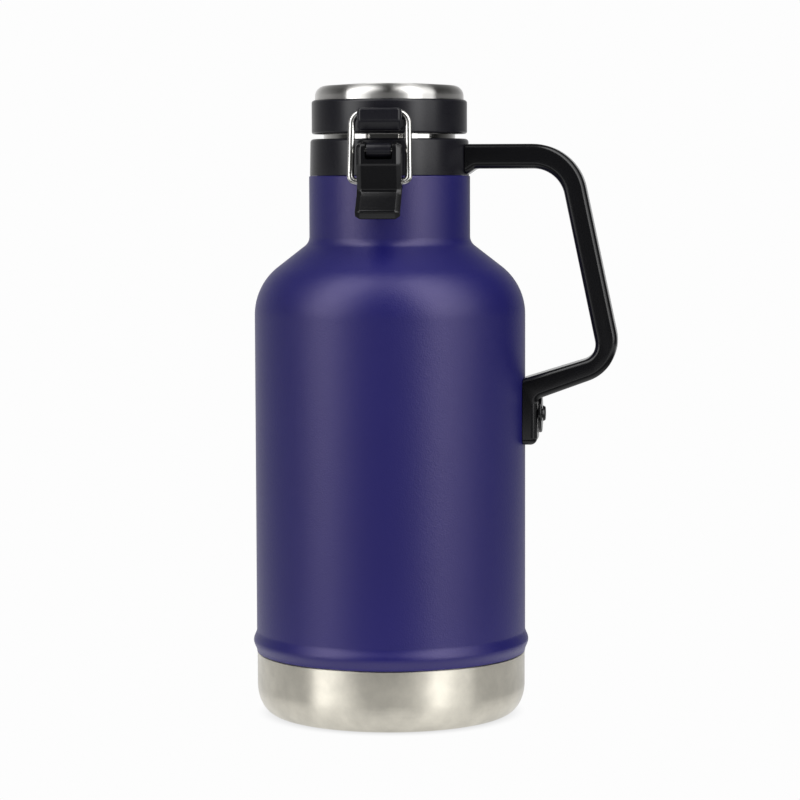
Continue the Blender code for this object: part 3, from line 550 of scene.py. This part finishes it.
def soft_material(name, colour, rough, grain_scale, depth_mm):
    """Silicone or foam: one colour, darker in a bumpy grain."""
    made = Nodes(name)
    grain = made.noise(scale=grain_scale, detail=4.0)
    darker = tuple(0.82 * c for c in colour)
    made.set("Base Color", made.mixed(grain, darker, colour))
    made.set("Roughness", rough)
    made.set("Normal", made.bump(grain, strength=0.5, distance_mm=depth_mm))
    return made.material


PAINT = powder_coat()
BRUSHED = brushed_steel("brushed steel", colour=(0.68, 0.648, 0.565), rough=0.36, anisotropic=0.86)
INSIDE = brushed_steel("satin steel inside", colour=(0.62, 0.60, 0.57), rough=0.34)
POLISHED = polished_steel("polished steel")
SPUN = polished_steel("spun steel", rough=0.31, anisotropic=1.0)
WIRE = polished_steel("bright wire", rough=0.24)
CHARCOAL = moulded_plastic("charcoal plastic", colour=(0.0072, 0.0070, 0.0104), rough=0.30, specular=0.40)
BLACK = moulded_plastic("black plastic", colour=(0.0050, 0.0050, 0.0058), rough=0.18, specular=0.40)
BLACK_STEEL = moulded_plastic("black steel", colour=(0.008, 0.008, 0.0085), rough=0.30)
SILICONE = soft_material("silicone", colour=(0.62, 0.62, 0.60), rough=0.55, grain_scale=1.2, depth_mm=0.02)
FOAM = soft_material("insulating foam", colour=(0.78, 0.76, 0.70), rough=0.9, grain_scale=2.2, depth_mm=0.15)

# ---------------------------------------------------------------- outlines and solids


def filleted(corners, closed=False, arc_step=FINE):
    """Points of a polyline whose corners (x, y, radius) are rounded by true arcs."""
    points = []
    count = len(corners)
    for i, (x, y, radius) in enumerate(corners):
        at_end = not closed and i in (0, count - 1)
        if radius <= 0 or at_end:
            points.append((x, y))
            continue
        here = Vector((x, y))
        before = (Vector(corners[i - 1][:2]) - here).normalized()
        after = (Vector(corners[(i + 1) % count][:2]) - here).normalized()
        opening = acos(max(-1.0, min(1.0, before.dot(after))))
        reach = radius / tan(opening / 2)
        centre = here + (before + after).normalized() * (radius / sin(opening / 2))
        start = here + before * reach - centre
        end = here + after * reach - centre
        turn = atan2(start.cross(end), start.dot(end))
        steps = max(2, round(abs(turn) / arc_step))
        first = atan2(start.y, start.x)
        for k in range(steps + 1):
            angle = first + turn * k / steps
            points.append((centre.x + radius * cos(angle), centre.y + radius * sin(angle)))
    return points


def cone_height_at(r, inset=0.0):
    """Height of the shoulder's cone at a radius, for a wall moved inwards by inset."""
    slant = hypot(1.0, CONE_SLOPE)
    radius = CONE_POINT[0] - inset / slant
    height = CONE_POINT[1] - inset * CONE_SLOPE / slant
    return height + (radius - r) / CONE_SLOPE


def shoulder_fillet(body_r, inset):
    """Radius of the shoulder's bend, which ends at BODY_TOP_Z on every wall."""
    half_turn = atan2(CONE_SLOPE, 1.0) / 2
    return (cone_height_at(body_r, inset) - BODY_TOP_Z) / tan(half_turn)


def solid_from(source, name):
    """A closed mesh object made from source as the viewport evaluates it. source is removed."""
    bpy.context.view_layer.update()
    evaluated = source.evaluated_get(bpy.context.evaluated_depsgraph_get())
    mesh = bpy.data.meshes.new_from_object(evaluated)
    mesh.transform(source.matrix_world)
    bpy.data.objects.remove(source, do_unlink=True)
    work = bmesh.new()
    work.from_mesh(mesh)
    bmesh.ops.remove_doubles(work, verts=work.verts, dist=MERGE * MM)
    bmesh.ops.recalc_face_normals(work, faces=work.faces)
    work.to_mesh(mesh)
    work.free()
    made = bpy.data.objects.new(name, mesh)
    bpy.context.scene.collection.objects.link(made)
    return made


def turned(name, profile, steps=ROUND, closed=True):
    """A profile of (radius, height) turned about Z. It runs down the outer side, then up the inner."""
    mesh = bpy.data.meshes.new(name)
    edges = [(i, i + 1) for i in range(len(profile) - 1)]
    if closed:
        edges.append((len(profile) - 1, 0))
    mesh.from_pydata([(r * MM, 0, z * MM) for r, z in profile], edges, [])
    thing = bpy.data.objects.new(name, mesh)
    bpy.context.scene.collection.objects.link(thing)
    screw = thing.modifiers.new("turn", "SCREW")
    screw.axis = "Z"
    screw.steps = steps
    screw.render_steps = steps
    screw.use_merge_vertices = True
    screw.merge_threshold = MERGE * MM
    return solid_from(thing, name)


def turned_along_x(name, profile, centre, steps=SMALL_ROUND, closed=True):
    thing = turned(name, profile, steps, closed)
    thing.data.transform(Matrix.Rotation(pi / 2, 4, "Y"))
    thing.data.transform(Matrix.Translation(Vector(centre) * MM))
    return thing


def plate(name, outline, half, turn, bevel):
    """A flat outline thickened by half each way, turned, and its edges rounded."""
    curve = bpy.data.curves.new(name, "CURVE")
    curve.dimensions = "2D"
    curve.fill_mode = "BOTH"
    curve.extrude = half * MM
    spline = curve.splines.new("POLY")
    spline.points.add(len(outline) - 1)
    for point, (x, y) in zip(spline.points, outline):
        point.co = (x * MM, y * MM, 0, 1)
    spline.use_cyclic_u = True
    thing = bpy.data.objects.new(name, curve)
    bpy.context.scene.collection.objects.link(thing)
    thing.rotation_euler = turn
    thing = solid_from(thing, name)
    rounded(thing, bevel)
    return thing


def inset_outline(corners, inset):
    """A closed outline's corners moved inwards: outer corners get tighter, hollow ones wider."""
    spots = [Vector(corner[:2]) for corner in corners]
    count = len(spots)
    area = sum(spots[i - 1].cross(spots[i]) for i in range(count))
    side = 1.0 if area > 0 else -1.0
    moved = []
    for i, (_, _, radius) in enumerate(corners):
        into = (spots[i] - spots[i - 1]).normalized()
        out = (spots[(i + 1) % count] - spots[i]).normalized()
        normals = Vector((-into.y - out.y, into.x + out.x)) * side
        spot = spots[i] + normals * (inset / (1.0 + into.dot(out)))
        outward = into.cross(out) * side > 0
        if radius > 0:
            radius = max(radius - inset, SMALLEST_ROUND) if outward else radius + inset
        moved.append((spot.x, spot.y, radius))
    return moved


def rounded_edge(half, radius):
    """A quarter round as (distance from the middle, inset), from the side inwards."""
    angles = [pi / 2 * k / EDGE_STEPS for k in range(EDGE_STEPS + 1)]
    return [(half - radius * (1 - cos(a)), radius * (1 - sin(a))) for a in angles]


def lofted(name, corners, edge, turn):
    """A closed outline thickened along its normal. edge lists (distance from the middle, inset)."""
    layers = edge + [(-distance, inset) for distance, inset in reversed(edge)]
    rings = [filleted(inset_outline(corners, inset), closed=True) for _, inset in layers]
    count = len(rings[0])
    points = [(x * MM, y * MM, distance * MM) for ring, (distance, _) in zip(rings, layers) for x, y in ring]
    faces = [tuple(range(count)), tuple(range(len(points) - count, len(points)))]
    for layer in range(len(layers) - 1):
        start = layer * count
        for i in range(count):
            after = (i + 1) % count
            faces.append((start + i, start + after, start + count + after, start + count + i))
    mesh = bpy.data.meshes.new(name)
    mesh.from_pydata(points, [], faces)
    thing = bpy.data.objects.new(name, mesh)
    bpy.context.scene.collection.objects.link(thing)
    thing.rotation_euler = turn
    return solid_from(thing, name)


def rounded(thing, width):
    bevel = thing.modifiers.new("round", "BEVEL")
    bevel.width = width * MM
    bevel.segments = BEVEL_SEGMENTS
    bevel.limit_method = "ANGLE"
    bevel.angle_limit = BEVELLED_FROM
    bevel.use_clamp_overlap = True
    applied(thing)


def applied(thing):
    """The modifiers' result becomes the object's own mesh."""
    bpy.context.view_layer.update()
    evaluated = thing.evaluated_get(bpy.context.evaluated_depsgraph_get())
    mesh = bpy.data.meshes.new_from_object(evaluated)
    thing.modifiers.clear()
    thing.data = mesh


def block(name, low, high, bevel=0.0):
    work = bmesh.new()
    bmesh.ops.create_cube(work, size=1.0)
    size = [(b - a) * MM for a, b in zip(low, high)]
    middle = [(a + b) / 2 * MM for a, b in zip(low, high)]
    bmesh.ops.scale(work, vec=size, verts=work.verts)
    bmesh.ops.translate(work, vec=middle, verts=work.verts)
    mesh = bpy.data.meshes.new(name)
    work.to_mesh(mesh)
    work.free()
    thing = bpy.data.objects.new(name, mesh)
    bpy.context.scene.collection.objects.link(thing)
    if bevel:
        rounded(thing, bevel)
    return thing


def rod_x(name, radius, half, centre, steps=SMALL_ROUND):
    profile = [(0, half), (radius, half), (radius, -half), (0, -half)]
    return turned_along_x(name, profile, centre, steps, closed=False)


def combined(thing, other, operation):
    """thing joined with (UNION) or cut by (DIFFERENCE) other, which is used up."""
    boolean = thing.modifiers.new("combine", "BOOLEAN")
    boolean.operation = operation
    boolean.solver = "EXACT"
    boolean.object = other
    applied(thing)
    bpy.data.objects.remove(other, do_unlink=True)
    return thing


def piece(thing, body, nodes, look):
    """A finished piece: smooth, with its material, riding its body and standing for its CAD nodes."""
    thing.data.materials.clear()
    thing.data.materials.append(look)
    thing.data.shade_smooth()
    thing.data.set_sharp_from_angle(angle=SHARP_FROM)
    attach(thing, body)
    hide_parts(*nodes)
    return thing


# ---------------------------------------------------------------- the two walls

def wall_side(neck_r, body_r, inset, top_z, foot_z, neck_round):
    return filleted([
        (neck_r, top_z, 0),
        (neck_r, cone_height_at(neck_r, inset), neck_round),
        (body_r, cone_height_at(body_r, inset), shoulder_fillet(body_r, inset)),
        (body_r, foot_z, 0),
    ], arc_step=radians(3))


def bead():
    points = []
    for k in range(BEAD_STEPS + 1):
        along = 2 * k / BEAD_STEPS - 1
        points.append((BODY_R + BEAD_RISE * cos(along * pi / 2) ** 2, BEAD_Z - along * BEAD_HALF))
    return points


def wall_skin():
    outer = wall_side(NECK_R, BODY_R, 0, STEP_Z, BEAD_Z + BEAD_HALF + BEAD_LEAD, NECK_BEND_R)[:-1]
    inner = wall_side(NECK_R - WALL, BODY_R - WALL, WALL, STEP_Z - WALL, PAINT_Z, NECK_BEND_R + WALL)
    neck_edge = filleted([(THROAT_R, THROAT_TOP_Z, 0), (THROAT_R, STEP_Z, 0), (NECK_R, STEP_Z, NECK_EDGE_R),
                          outer[1] + (0,)])
    paint_edge = [(BODY_R, PAINT_Z + PAINT_EDGE), (BODY_R - PAINT_EDGE, PAINT_Z)]
    profile = neck_edge[:-1] + outer[1:] + bead() + paint_edge + inner[::-1]
    profile += [(THROAT_R - WALL, STEP_Z - WALL), (THROAT_R - WALL, THROAT_TOP_Z)]
    piece(turned("wall_skin", profile), "bottle", ["outer_shell"], PAINT)


def base_skin():
    lap_r = BODY_R - WALL - GAP
    foot = [(BASE_R - FOOT_R_DROP * (1 - cos(a)), FOOT_Z * (1 - sin(a)))
            for a in (radians(90 * k / FOOT_STEPS) for k in range(FOOT_STEPS + 1))]
    top = PAINT_Z - GAP
    outer = [(lap_r, PAINT_Z + BASE_LAP), (lap_r, top), (BASE_R - BASE_EDGE, top), (BASE_R, top - BASE_EDGE)]
    under = [(PLATE_R + GAP, 0), (PLATE_R + GAP, FLOOR_Z), (SEAL_HOLE_R, FLOOR_Z)]
    inside_r = lap_r - WALL
    inside = [(SEAL_HOLE_R, BASE_FLOOR_Z), (BASE_R - FOOT_R_DROP, BASE_FLOOR_Z),
              (inside_r - BASE_BEND[0], BASE_BEND[1]), (inside_r, FOOT_Z), (inside_r, PAINT_Z + BASE_LAP)]
    thing = turned("base_skin", outer + foot + under + inside)
    piece(thing, "bottle", ["base_cup"], BRUSHED)


def base_disc():
    top = FLOOR_Z - GAP
    profile = [(0, top), (PLATE_R, top), (PLATE_R, PLATE_EDGE), (PLATE_R - PLATE_EDGE, 0), (0, 0)]
    thing = turned("base_disc", profile, closed=False)
    piece(thing, "bottle", ["base_plate"], BRUSHED)


def floor_bend(wall_r, floor_z, bend_r):
    """The bend from a wall to its floor and the floor's middle, without the lead-in point up the wall."""
    lead_in = (wall_r, floor_z + 2 * bend_r, 0)
    return filleted([lead_in, (wall_r, floor_z, bend_r), (0, floor_z, 0)])[1:]


def liner():
    outer = wall_side(LINER_NECK_R, LINER_BODY_R, LINER_INSET, LINER_TOP_Z, LINER_SIDE_Z, LINER_BEND_R)[:-1]
    inner = wall_side(MOUTH_R, LINER_BODY_R - LINER, LINER_INSET + LINER, LINER_TOP_Z, LINER_SIDE_Z,
                      LINER_BEND_R + LINER)[:-1]
    bend = floor_bend(LINER_BODY_R, LINER_FLOOR_Z, FLOOR_BEND_R)
    inside_bend = floor_bend(LINER_BODY_R - LINER, LINER_FLOOR_Z + LINER, FLOOR_BEND_R - LINER)
    profile = inside_bend[::-1] + inner[::-1] + outer + bend
    thing = turned("liner", profile, LINER_ROUND, closed=False)
    piece(thing, "bottle", ["inner_bottle"], INSIDE)


def rim():
    rim_side = filleted([(MOUTH_R, LINER_TOP_Z + GAP, 0), (MOUTH_R, RIM_TOP_Z, RIM_ROUND),
                         (RIM_R, RIM_TOP_Z, RIM_ROUND), (RIM_R, FLANGE_Z, 0)], arc_step=radians(10))
    skirt_in = LINER_NECK_R + GAP
    skirt_out = THROAT_R - WALL - GAP
    flange_low = THROAT_TOP_Z + GAP
    profile = rim_side + [(THROAT_R, FLANGE_Z), (THROAT_R, flange_low), (skirt_out, flange_low),
                          (skirt_out, RIM_SKIRT_Z), (skirt_in, RIM_SKIRT_Z), (skirt_in, LINER_TOP_Z + GAP)]
    piece(turned("rim", profile), "bottle", ["mouth_ring"], POLISHED)


# ---------------------------------------------------------------- collar and grip

def knuckle(name, side_low, side_high, arm_z, root_y):
    """A hinge's barrel on an arm that starts at root_y. arm_z holds the arm's lower and upper face."""
    y, z = HINGE[1], HINGE[2]
    middle = (side_low + side_high) / 2
    half = (side_high - side_low) / 2
    profile = filleted([(0, half, 0), (KNUCKLE_R, half, KNUCKLE_EDGE), (KNUCKLE_R, -half, KNUCKLE_EDGE),
                        (0, -half, 0)], arc_step=radians(30))
    barrel = turned_along_x(name, profile, (middle, y, z), closed=False)
    arm = block(name + "_arm", (side_low + KNUCKLE_ARM_INSET, root_y, arm_z[0]),
                (side_high - KNUCKLE_ARM_INSET, y, arm_z[1]), KNUCKLE_ARM_ROUND)
    return combined(barrel, arm, "UNION")


def collar_piece():
    bore = THROAT_R + GAP
    profile = filleted([
        (RIM_R + GAP, COLLAR_TOP_Z, COLLAR_EDGE), (COLLAR_R - COLLAR_EDGE, COLLAR_TOP_Z, COLLAR_ROUND),
        (COLLAR_R, COLLAR_FOOT_Z, COLLAR_EDGE), (bore, COLLAR_FOOT_Z, 0), (bore, FLANGE_Z + GAP, 0),
        (RIM_R + GAP, FLANGE_Z + GAP, 0),
    ], closed=True, arc_step=radians(15))
    thing = turned("collar_piece", profile)
    for side in (-1, 1):
        inner, outer = sorted((side * (LID_KNUCKLE_HALF + GAP), side * HINGE_HALF))
        combined(thing, knuckle("ear", inner, outer, EAR_ARM_Z, EAR_ROOT), "UNION")
    reach, height = -PIVOT[1], PIVOT[2]
    lug = plate("lug", filleted([
        (LUG_ROOT, height - LUG_R, 0), (reach + LUG_R, height - LUG_R, LUG_NOSE_R),
        (reach + LUG_R, height + LUG_R, LUG_NOSE_R), (LUG_ROOT, height + LUG_R, 0),
    ], closed=True), LUG_HALF, FACING_LATCH, LUG_ROUND)
    combined(thing, lug, "UNION")
    combined(thing, rod_x("hinge_bore", PIN_R + GAP, HINGE_HALF + BORE_OVERRUN, HINGE), "DIFFERENCE")
    combined(thing, rod_x("latch_bore", LATCH_PIN_R + GAP, LUG_HALF + BORE_OVERRUN, PIVOT), "DIFFERENCE")
    piece(thing, "bottle", ["collar"], CHARCOAL)


def grip():
    thing = lofted("grip", GRIP_OUTLINE, rounded_edge(GRIP_HALF, GRIP_ROUND), FACING_HANDLE)
    combined(thing, turned("bottle_clearance", BOTTLE_CLEARANCE, closed=False), "DIFFERENCE")
    seat_r, way_r = WASHER_R + GAP, SCREW_R + GAP
    profile = [(0, OUTWARD_X), (seat_r, OUTWARD_X), (seat_r, SEAT_X), (way_r, SEAT_X), (way_r, INWARD_X),
               (0, INWARD_X)]
    bore = turned_along_x("fixing_bore", profile, (0, 0, SCREW_Z), closed=False)
    combined(thing, bore, "DIFFERENCE")
    piece(thing, "bottle", ["handle"], BLACK)


def washer():
    low, high = FOOT_X + GAP, WASHER_X
    profile = filleted([(SCREW_R + GAP, high, 0), (WASHER_R, high, WASHER_ROUND[0]),
                        (WASHER_R, low, WASHER_ROUND[1]), (SCREW_R + GAP, low, 0)],
                       closed=True, arc_step=radians(15))
    thing = turned_along_x("washer", profile, (0, 0, SCREW_Z), WASHER_SIDES)
    piece(thing, "bottle", ["handle_washer"], BLACK)


def grip_screw():
    seat = WASHER_X + GAP
    height, top_r, seat_r, head_round = SCREW_HEAD
    head = filleted([(0, seat + height, 0), (top_r, seat + height, head_round), (seat_r, seat, 0)])
    profile = head + [(SCREW_R, seat), (SCREW_R, SCREW_END_X), (0, SCREW_END_X)]
    thing = turned_along_x("grip_screw", profile, (0, 0, SCREW_Z), SMALL_ROUND, closed=False)
    low, high = seat + SOCKET_FLOOR, seat + SOCKET_REACH
    socket = rod_x("socket", SOCKET_R, (high - low) / 2, ((low + high) / 2, 0, SCREW_Z), SOCKET_SIDES)
    piece(combined(thing, socket, "DIFFERENCE"), "bottle", ["handle_screw"], BLACK_STEEL)


# ---------------------------------------------------------------- lid

def catch():
    """The lid ring's catch: rounded all round, with a slot along it behind its lip for the bail."""
    thing = lofted("catch", CATCH_OUTLINE, rounded_edge(CATCH_HALF, CATCH_ROUND), FACING_LATCH)
    slot = block("catch_slot", (-2 * CATCH_HALF, -SLOT_FRONT, SLOT_FLOOR_Z), (2 * CATCH_HALF, 0, LID_TOP_Z))
    combined(thing, slot, "DIFFERENCE")
    core_r = LID_R - CATCH_CORE_INSET
    core = turned("core", [(0, LID_TOP_Z), (core_r, LID_TOP_Z), (core_r, LID_Z), (0, LID_Z)], closed=False)
    return combined(thing, core, "DIFFERENCE")


def lid_ring_piece():
    recess = CAP_R + GAP
    cap_round, top_round, low_round, skirt_round = LID_ROUNDS
    profile = filleted([
        (recess, LID_TOP_Z, cap_round), (LID_R, LID_TOP_Z, top_round), (LID_R, LID_Z, low_round),
        (SKIRT_R, LID_Z, skirt_round), (SKIRT_R, WEB_Z[0], 0), (LID_SCREW_R + GAP, WEB_Z[0], 0),
        (LID_SCREW_R + GAP, WEB_Z[1], 0), (recess, WEB_Z[1], 0),
    ], closed=True, arc_step=radians(12))
    thing = turned("lid_ring_piece", profile)
    arm = knuckle("lid_knuckle", -LID_KNUCKLE_HALF, LID_KNUCKLE_HALF, LID_ARM_Z, LID_ARM_ROOT)
    combined(thing, arm, "UNION")
    combined(thing, catch(), "UNION")
    combined(thing, rod_x("pin_way", PIN_R + GAP, LID_KNUCKLE_HALF + BORE_OVERRUN, HINGE), "DIFFERENCE")
    piece(thing, "lid", ["lid_ring"], CHARCOAL)


def cap_side(inset, low):
    """The cap's crown and rounded side, from the middle down to low."""
    bend_at = CAP_BEND_SHARE * (CAP_R - CAP_ROUND)
    return filleted([(0, HEIGHT - inset, 0), (bend_at, HEIGHT - CROWN / 3 - inset, CAP_BEND_R),
                     (CAP_R - inset, CAP_EDGE_Z - inset, CAP_ROUND - inset), (CAP_R - inset, low, 0)],
                    arc_step=radians(1))


def steel_top():
    low = WEB_Z[1] + GAP
    profile = cap_side(0, low) + cap_side(CAP_THICK, low)[::-1]
    piece(turned("steel_top", profile, closed=False), "lid", ["lid_cap"], SPUN)


def plug():
    top = WEB_Z[0] - GAP
    hole_r = LID_SCREW_R + GAP
    floor_z = PLUG_Z + PLUG_SKIN
    outer = filleted([(PLUG_TOP_R, top, 0), (PLUG_TOP_R, PLUG_BEAD_Z, 0),
                      (PLUG_SEAL_R, PLUG_BEAD_Z, PLUG_BEAD_ROUND), (PLUG_SEAL_R, PLUG_SEAL_Z, 0),
                      (PLUG_FOOT_R, PLUG_Z, PLUG_SKIN), (0, PLUG_Z, 0)], arc_step=radians(10))
    inner = [(0, POST_HOLE_Z), (hole_r, POST_HOLE_Z), (hole_r, top), (POST_R, top), (POST_R, floor_z),
             (PLUG_INSIDE_R[0], floor_z), (PLUG_INSIDE_R[1], top)]
    piece(turned("plug", inner + outer, closed=False), "lid", ["lid_plug"], CHARCOAL)


def gasket():
    low, high = RIM_TOP_Z + GAP, WEB_Z[0] - GAP
    (inner_r, outer_r), (inner_round, outer_round) = GASKET_R, GASKET_ROUND
    profile = filleted([(inner_r, high, inner_round), (outer_r, high, outer_round),
                        (outer_r, low, outer_round), (inner_r, low, inner_round)],
                       closed=True, arc_step=radians(15))
    piece(turned("gasket", profile), "lid", ["lid_gasket"], SILICONE)


def round_pin(name, radius, half, centre, body, node):
    profile = filleted([(0, half, 0), (radius, half, KNUCKLE_EDGE), (radius, -half, KNUCKLE_EDGE),
                        (0, -half, 0)], arc_step=radians(20))
    thing = turned_along_x(name, profile, centre, PIN_SIDES, closed=False)
    piece(thing, body, [node], POLISHED)


# ---------------------------------------------------------------- latch

def lever():
    edge = filleted([(LEVER_HALF, 3 * CHAMFER_DEEP, 0), (LEVER_HALF, CHAMFER_DEEP, CHAMFER_ROUND[0]),
                     (LEVER_HALF - CHAMFER_WIDE, 0, CHAMFER_ROUND[1]), (0, 0, 0)], arc_step=radians(8))[1:-1]
    thing = lofted("lever", LEVER_OUTLINE, edge, FACING_LATCH)
    notch = block("notch", (-NOTCH_HALF, NOTCH_DEPTH[0], NOTCH_Z), (NOTCH_HALF, NOTCH_DEPTH[1], NOTCH_TOP_Z),
                  NOTCH_ROUND)
    pocket = block("pocket", (-POCKET_HALF, POCKET_DEPTH[0], POCKET_Z[0]),
                   (POCKET_HALF, POCKET_DEPTH[1], POCKET_Z[1]))
    pin_way = rod_x("pin_way", LATCH_PIN_R + GAP, LEVER_BORE_HALF, PIVOT)
    sleeve_way = rod_x("sleeve_way", SLEEVE_R + GAP, LEVER_BORE_HALF, BAIL)
    for cutter in (notch, pocket, pin_way, sleeve_way):
        combined(thing, cutter, "DIFFERENCE")
    piece(thing, "lever", ["latch_lever"], BLACK)


def sleeve():
    bore = WIRE_R + SLEEVE_PLAY
    half = LEVER_HALF - SLEEVE_INSET
    profile = [(bore, half), (SLEEVE_R, half), (SLEEVE_R, -half), (bore, -half)]
    thing = turned_along_x("sleeve_tube", profile, BAIL, SLEEVE_SIDES)
    piece(thing, "sleeve", ["bail_sleeve"], POLISHED)


def bail():
    """A bent wire: an open loop in the plane of the bail's axis and its top bar."""
    foot_y, foot_z = BAIL[1], BAIL[2]
    length = hypot(BAR_AT[0] - foot_y, BAR_AT[1] - foot_z)
    path = filleted([
        (-LEG_END, 0, 0), (-LEG_LOW, 0, ELBOW_R), (-LEG_HIGH, length, CORNER_R),
        (LEG_HIGH, length, CORNER_R), (LEG_LOW, 0, ELBOW_R), (LEG_END, 0, 0),
    ], arc_step=radians(6))
    curve = bpy.data.curves.new("bail_wire", "CURVE")
    curve.dimensions = "3D"
    curve.bevel_depth = WIRE_R * MM
    curve.bevel_resolution = WIRE_SMOOTH
    curve.use_fill_caps = True
    spline = curve.splines.new("POLY")
    spline.points.add(len(path) - 1)
    for point, (x, up) in zip(spline.points, path):
        share = up / length
        y = foot_y + (BAR_AT[0] - foot_y) * share
        z = foot_z + (BAR_AT[1] - foot_z) * share
        point.co = (x * MM, y * MM, z * MM, 1)
    wire = bpy.data.objects.new("bail_wire", curve)
    bpy.context.scene.collection.objects.link(wire)
    piece(solid_from(wire, "bail_wire"), "bail", ["latch_bail"], WIRE)


# ---------------------------------------------------------------- nodes kept from the CAD

def kept_nodes():
    """CAD nodes that stay as they are, inside the walls and the lid."""
    for name, look in (("vacuum_seal", BRUSHED), ("getter", BRUSHED), ("foot_boss", BRUSHED),
                       ("lid_insulation", FOAM), ("lid_screw", BRUSHED)):
        node = frame["nodes"][name]
        node.data.materials.clear()
        node.data.materials.append(look)


make_camera()
make_world()
make_stage()
for box in SOFTBOXES:
    softbox(*box)
wall_skin()
base_skin()
base_disc()
liner()
rim()
collar_piece()
grip()
washer()
grip_screw()
lid_ring_piece()
steel_top()
plug()
gasket()
round_pin("hinge_rod", PIN_R, HINGE_HALF - PIN_INSET[0], HINGE, "bottle", "hinge_pin")
round_pin("latch_rod", LATCH_PIN_R, LEVER_HALF - PIN_INSET[1], PIVOT, "bottle", "latch_pin")
lever()
sleeve()
bail()
kept_nodes()

bpy.context.scene.view_settings.view_transform = "Standard"
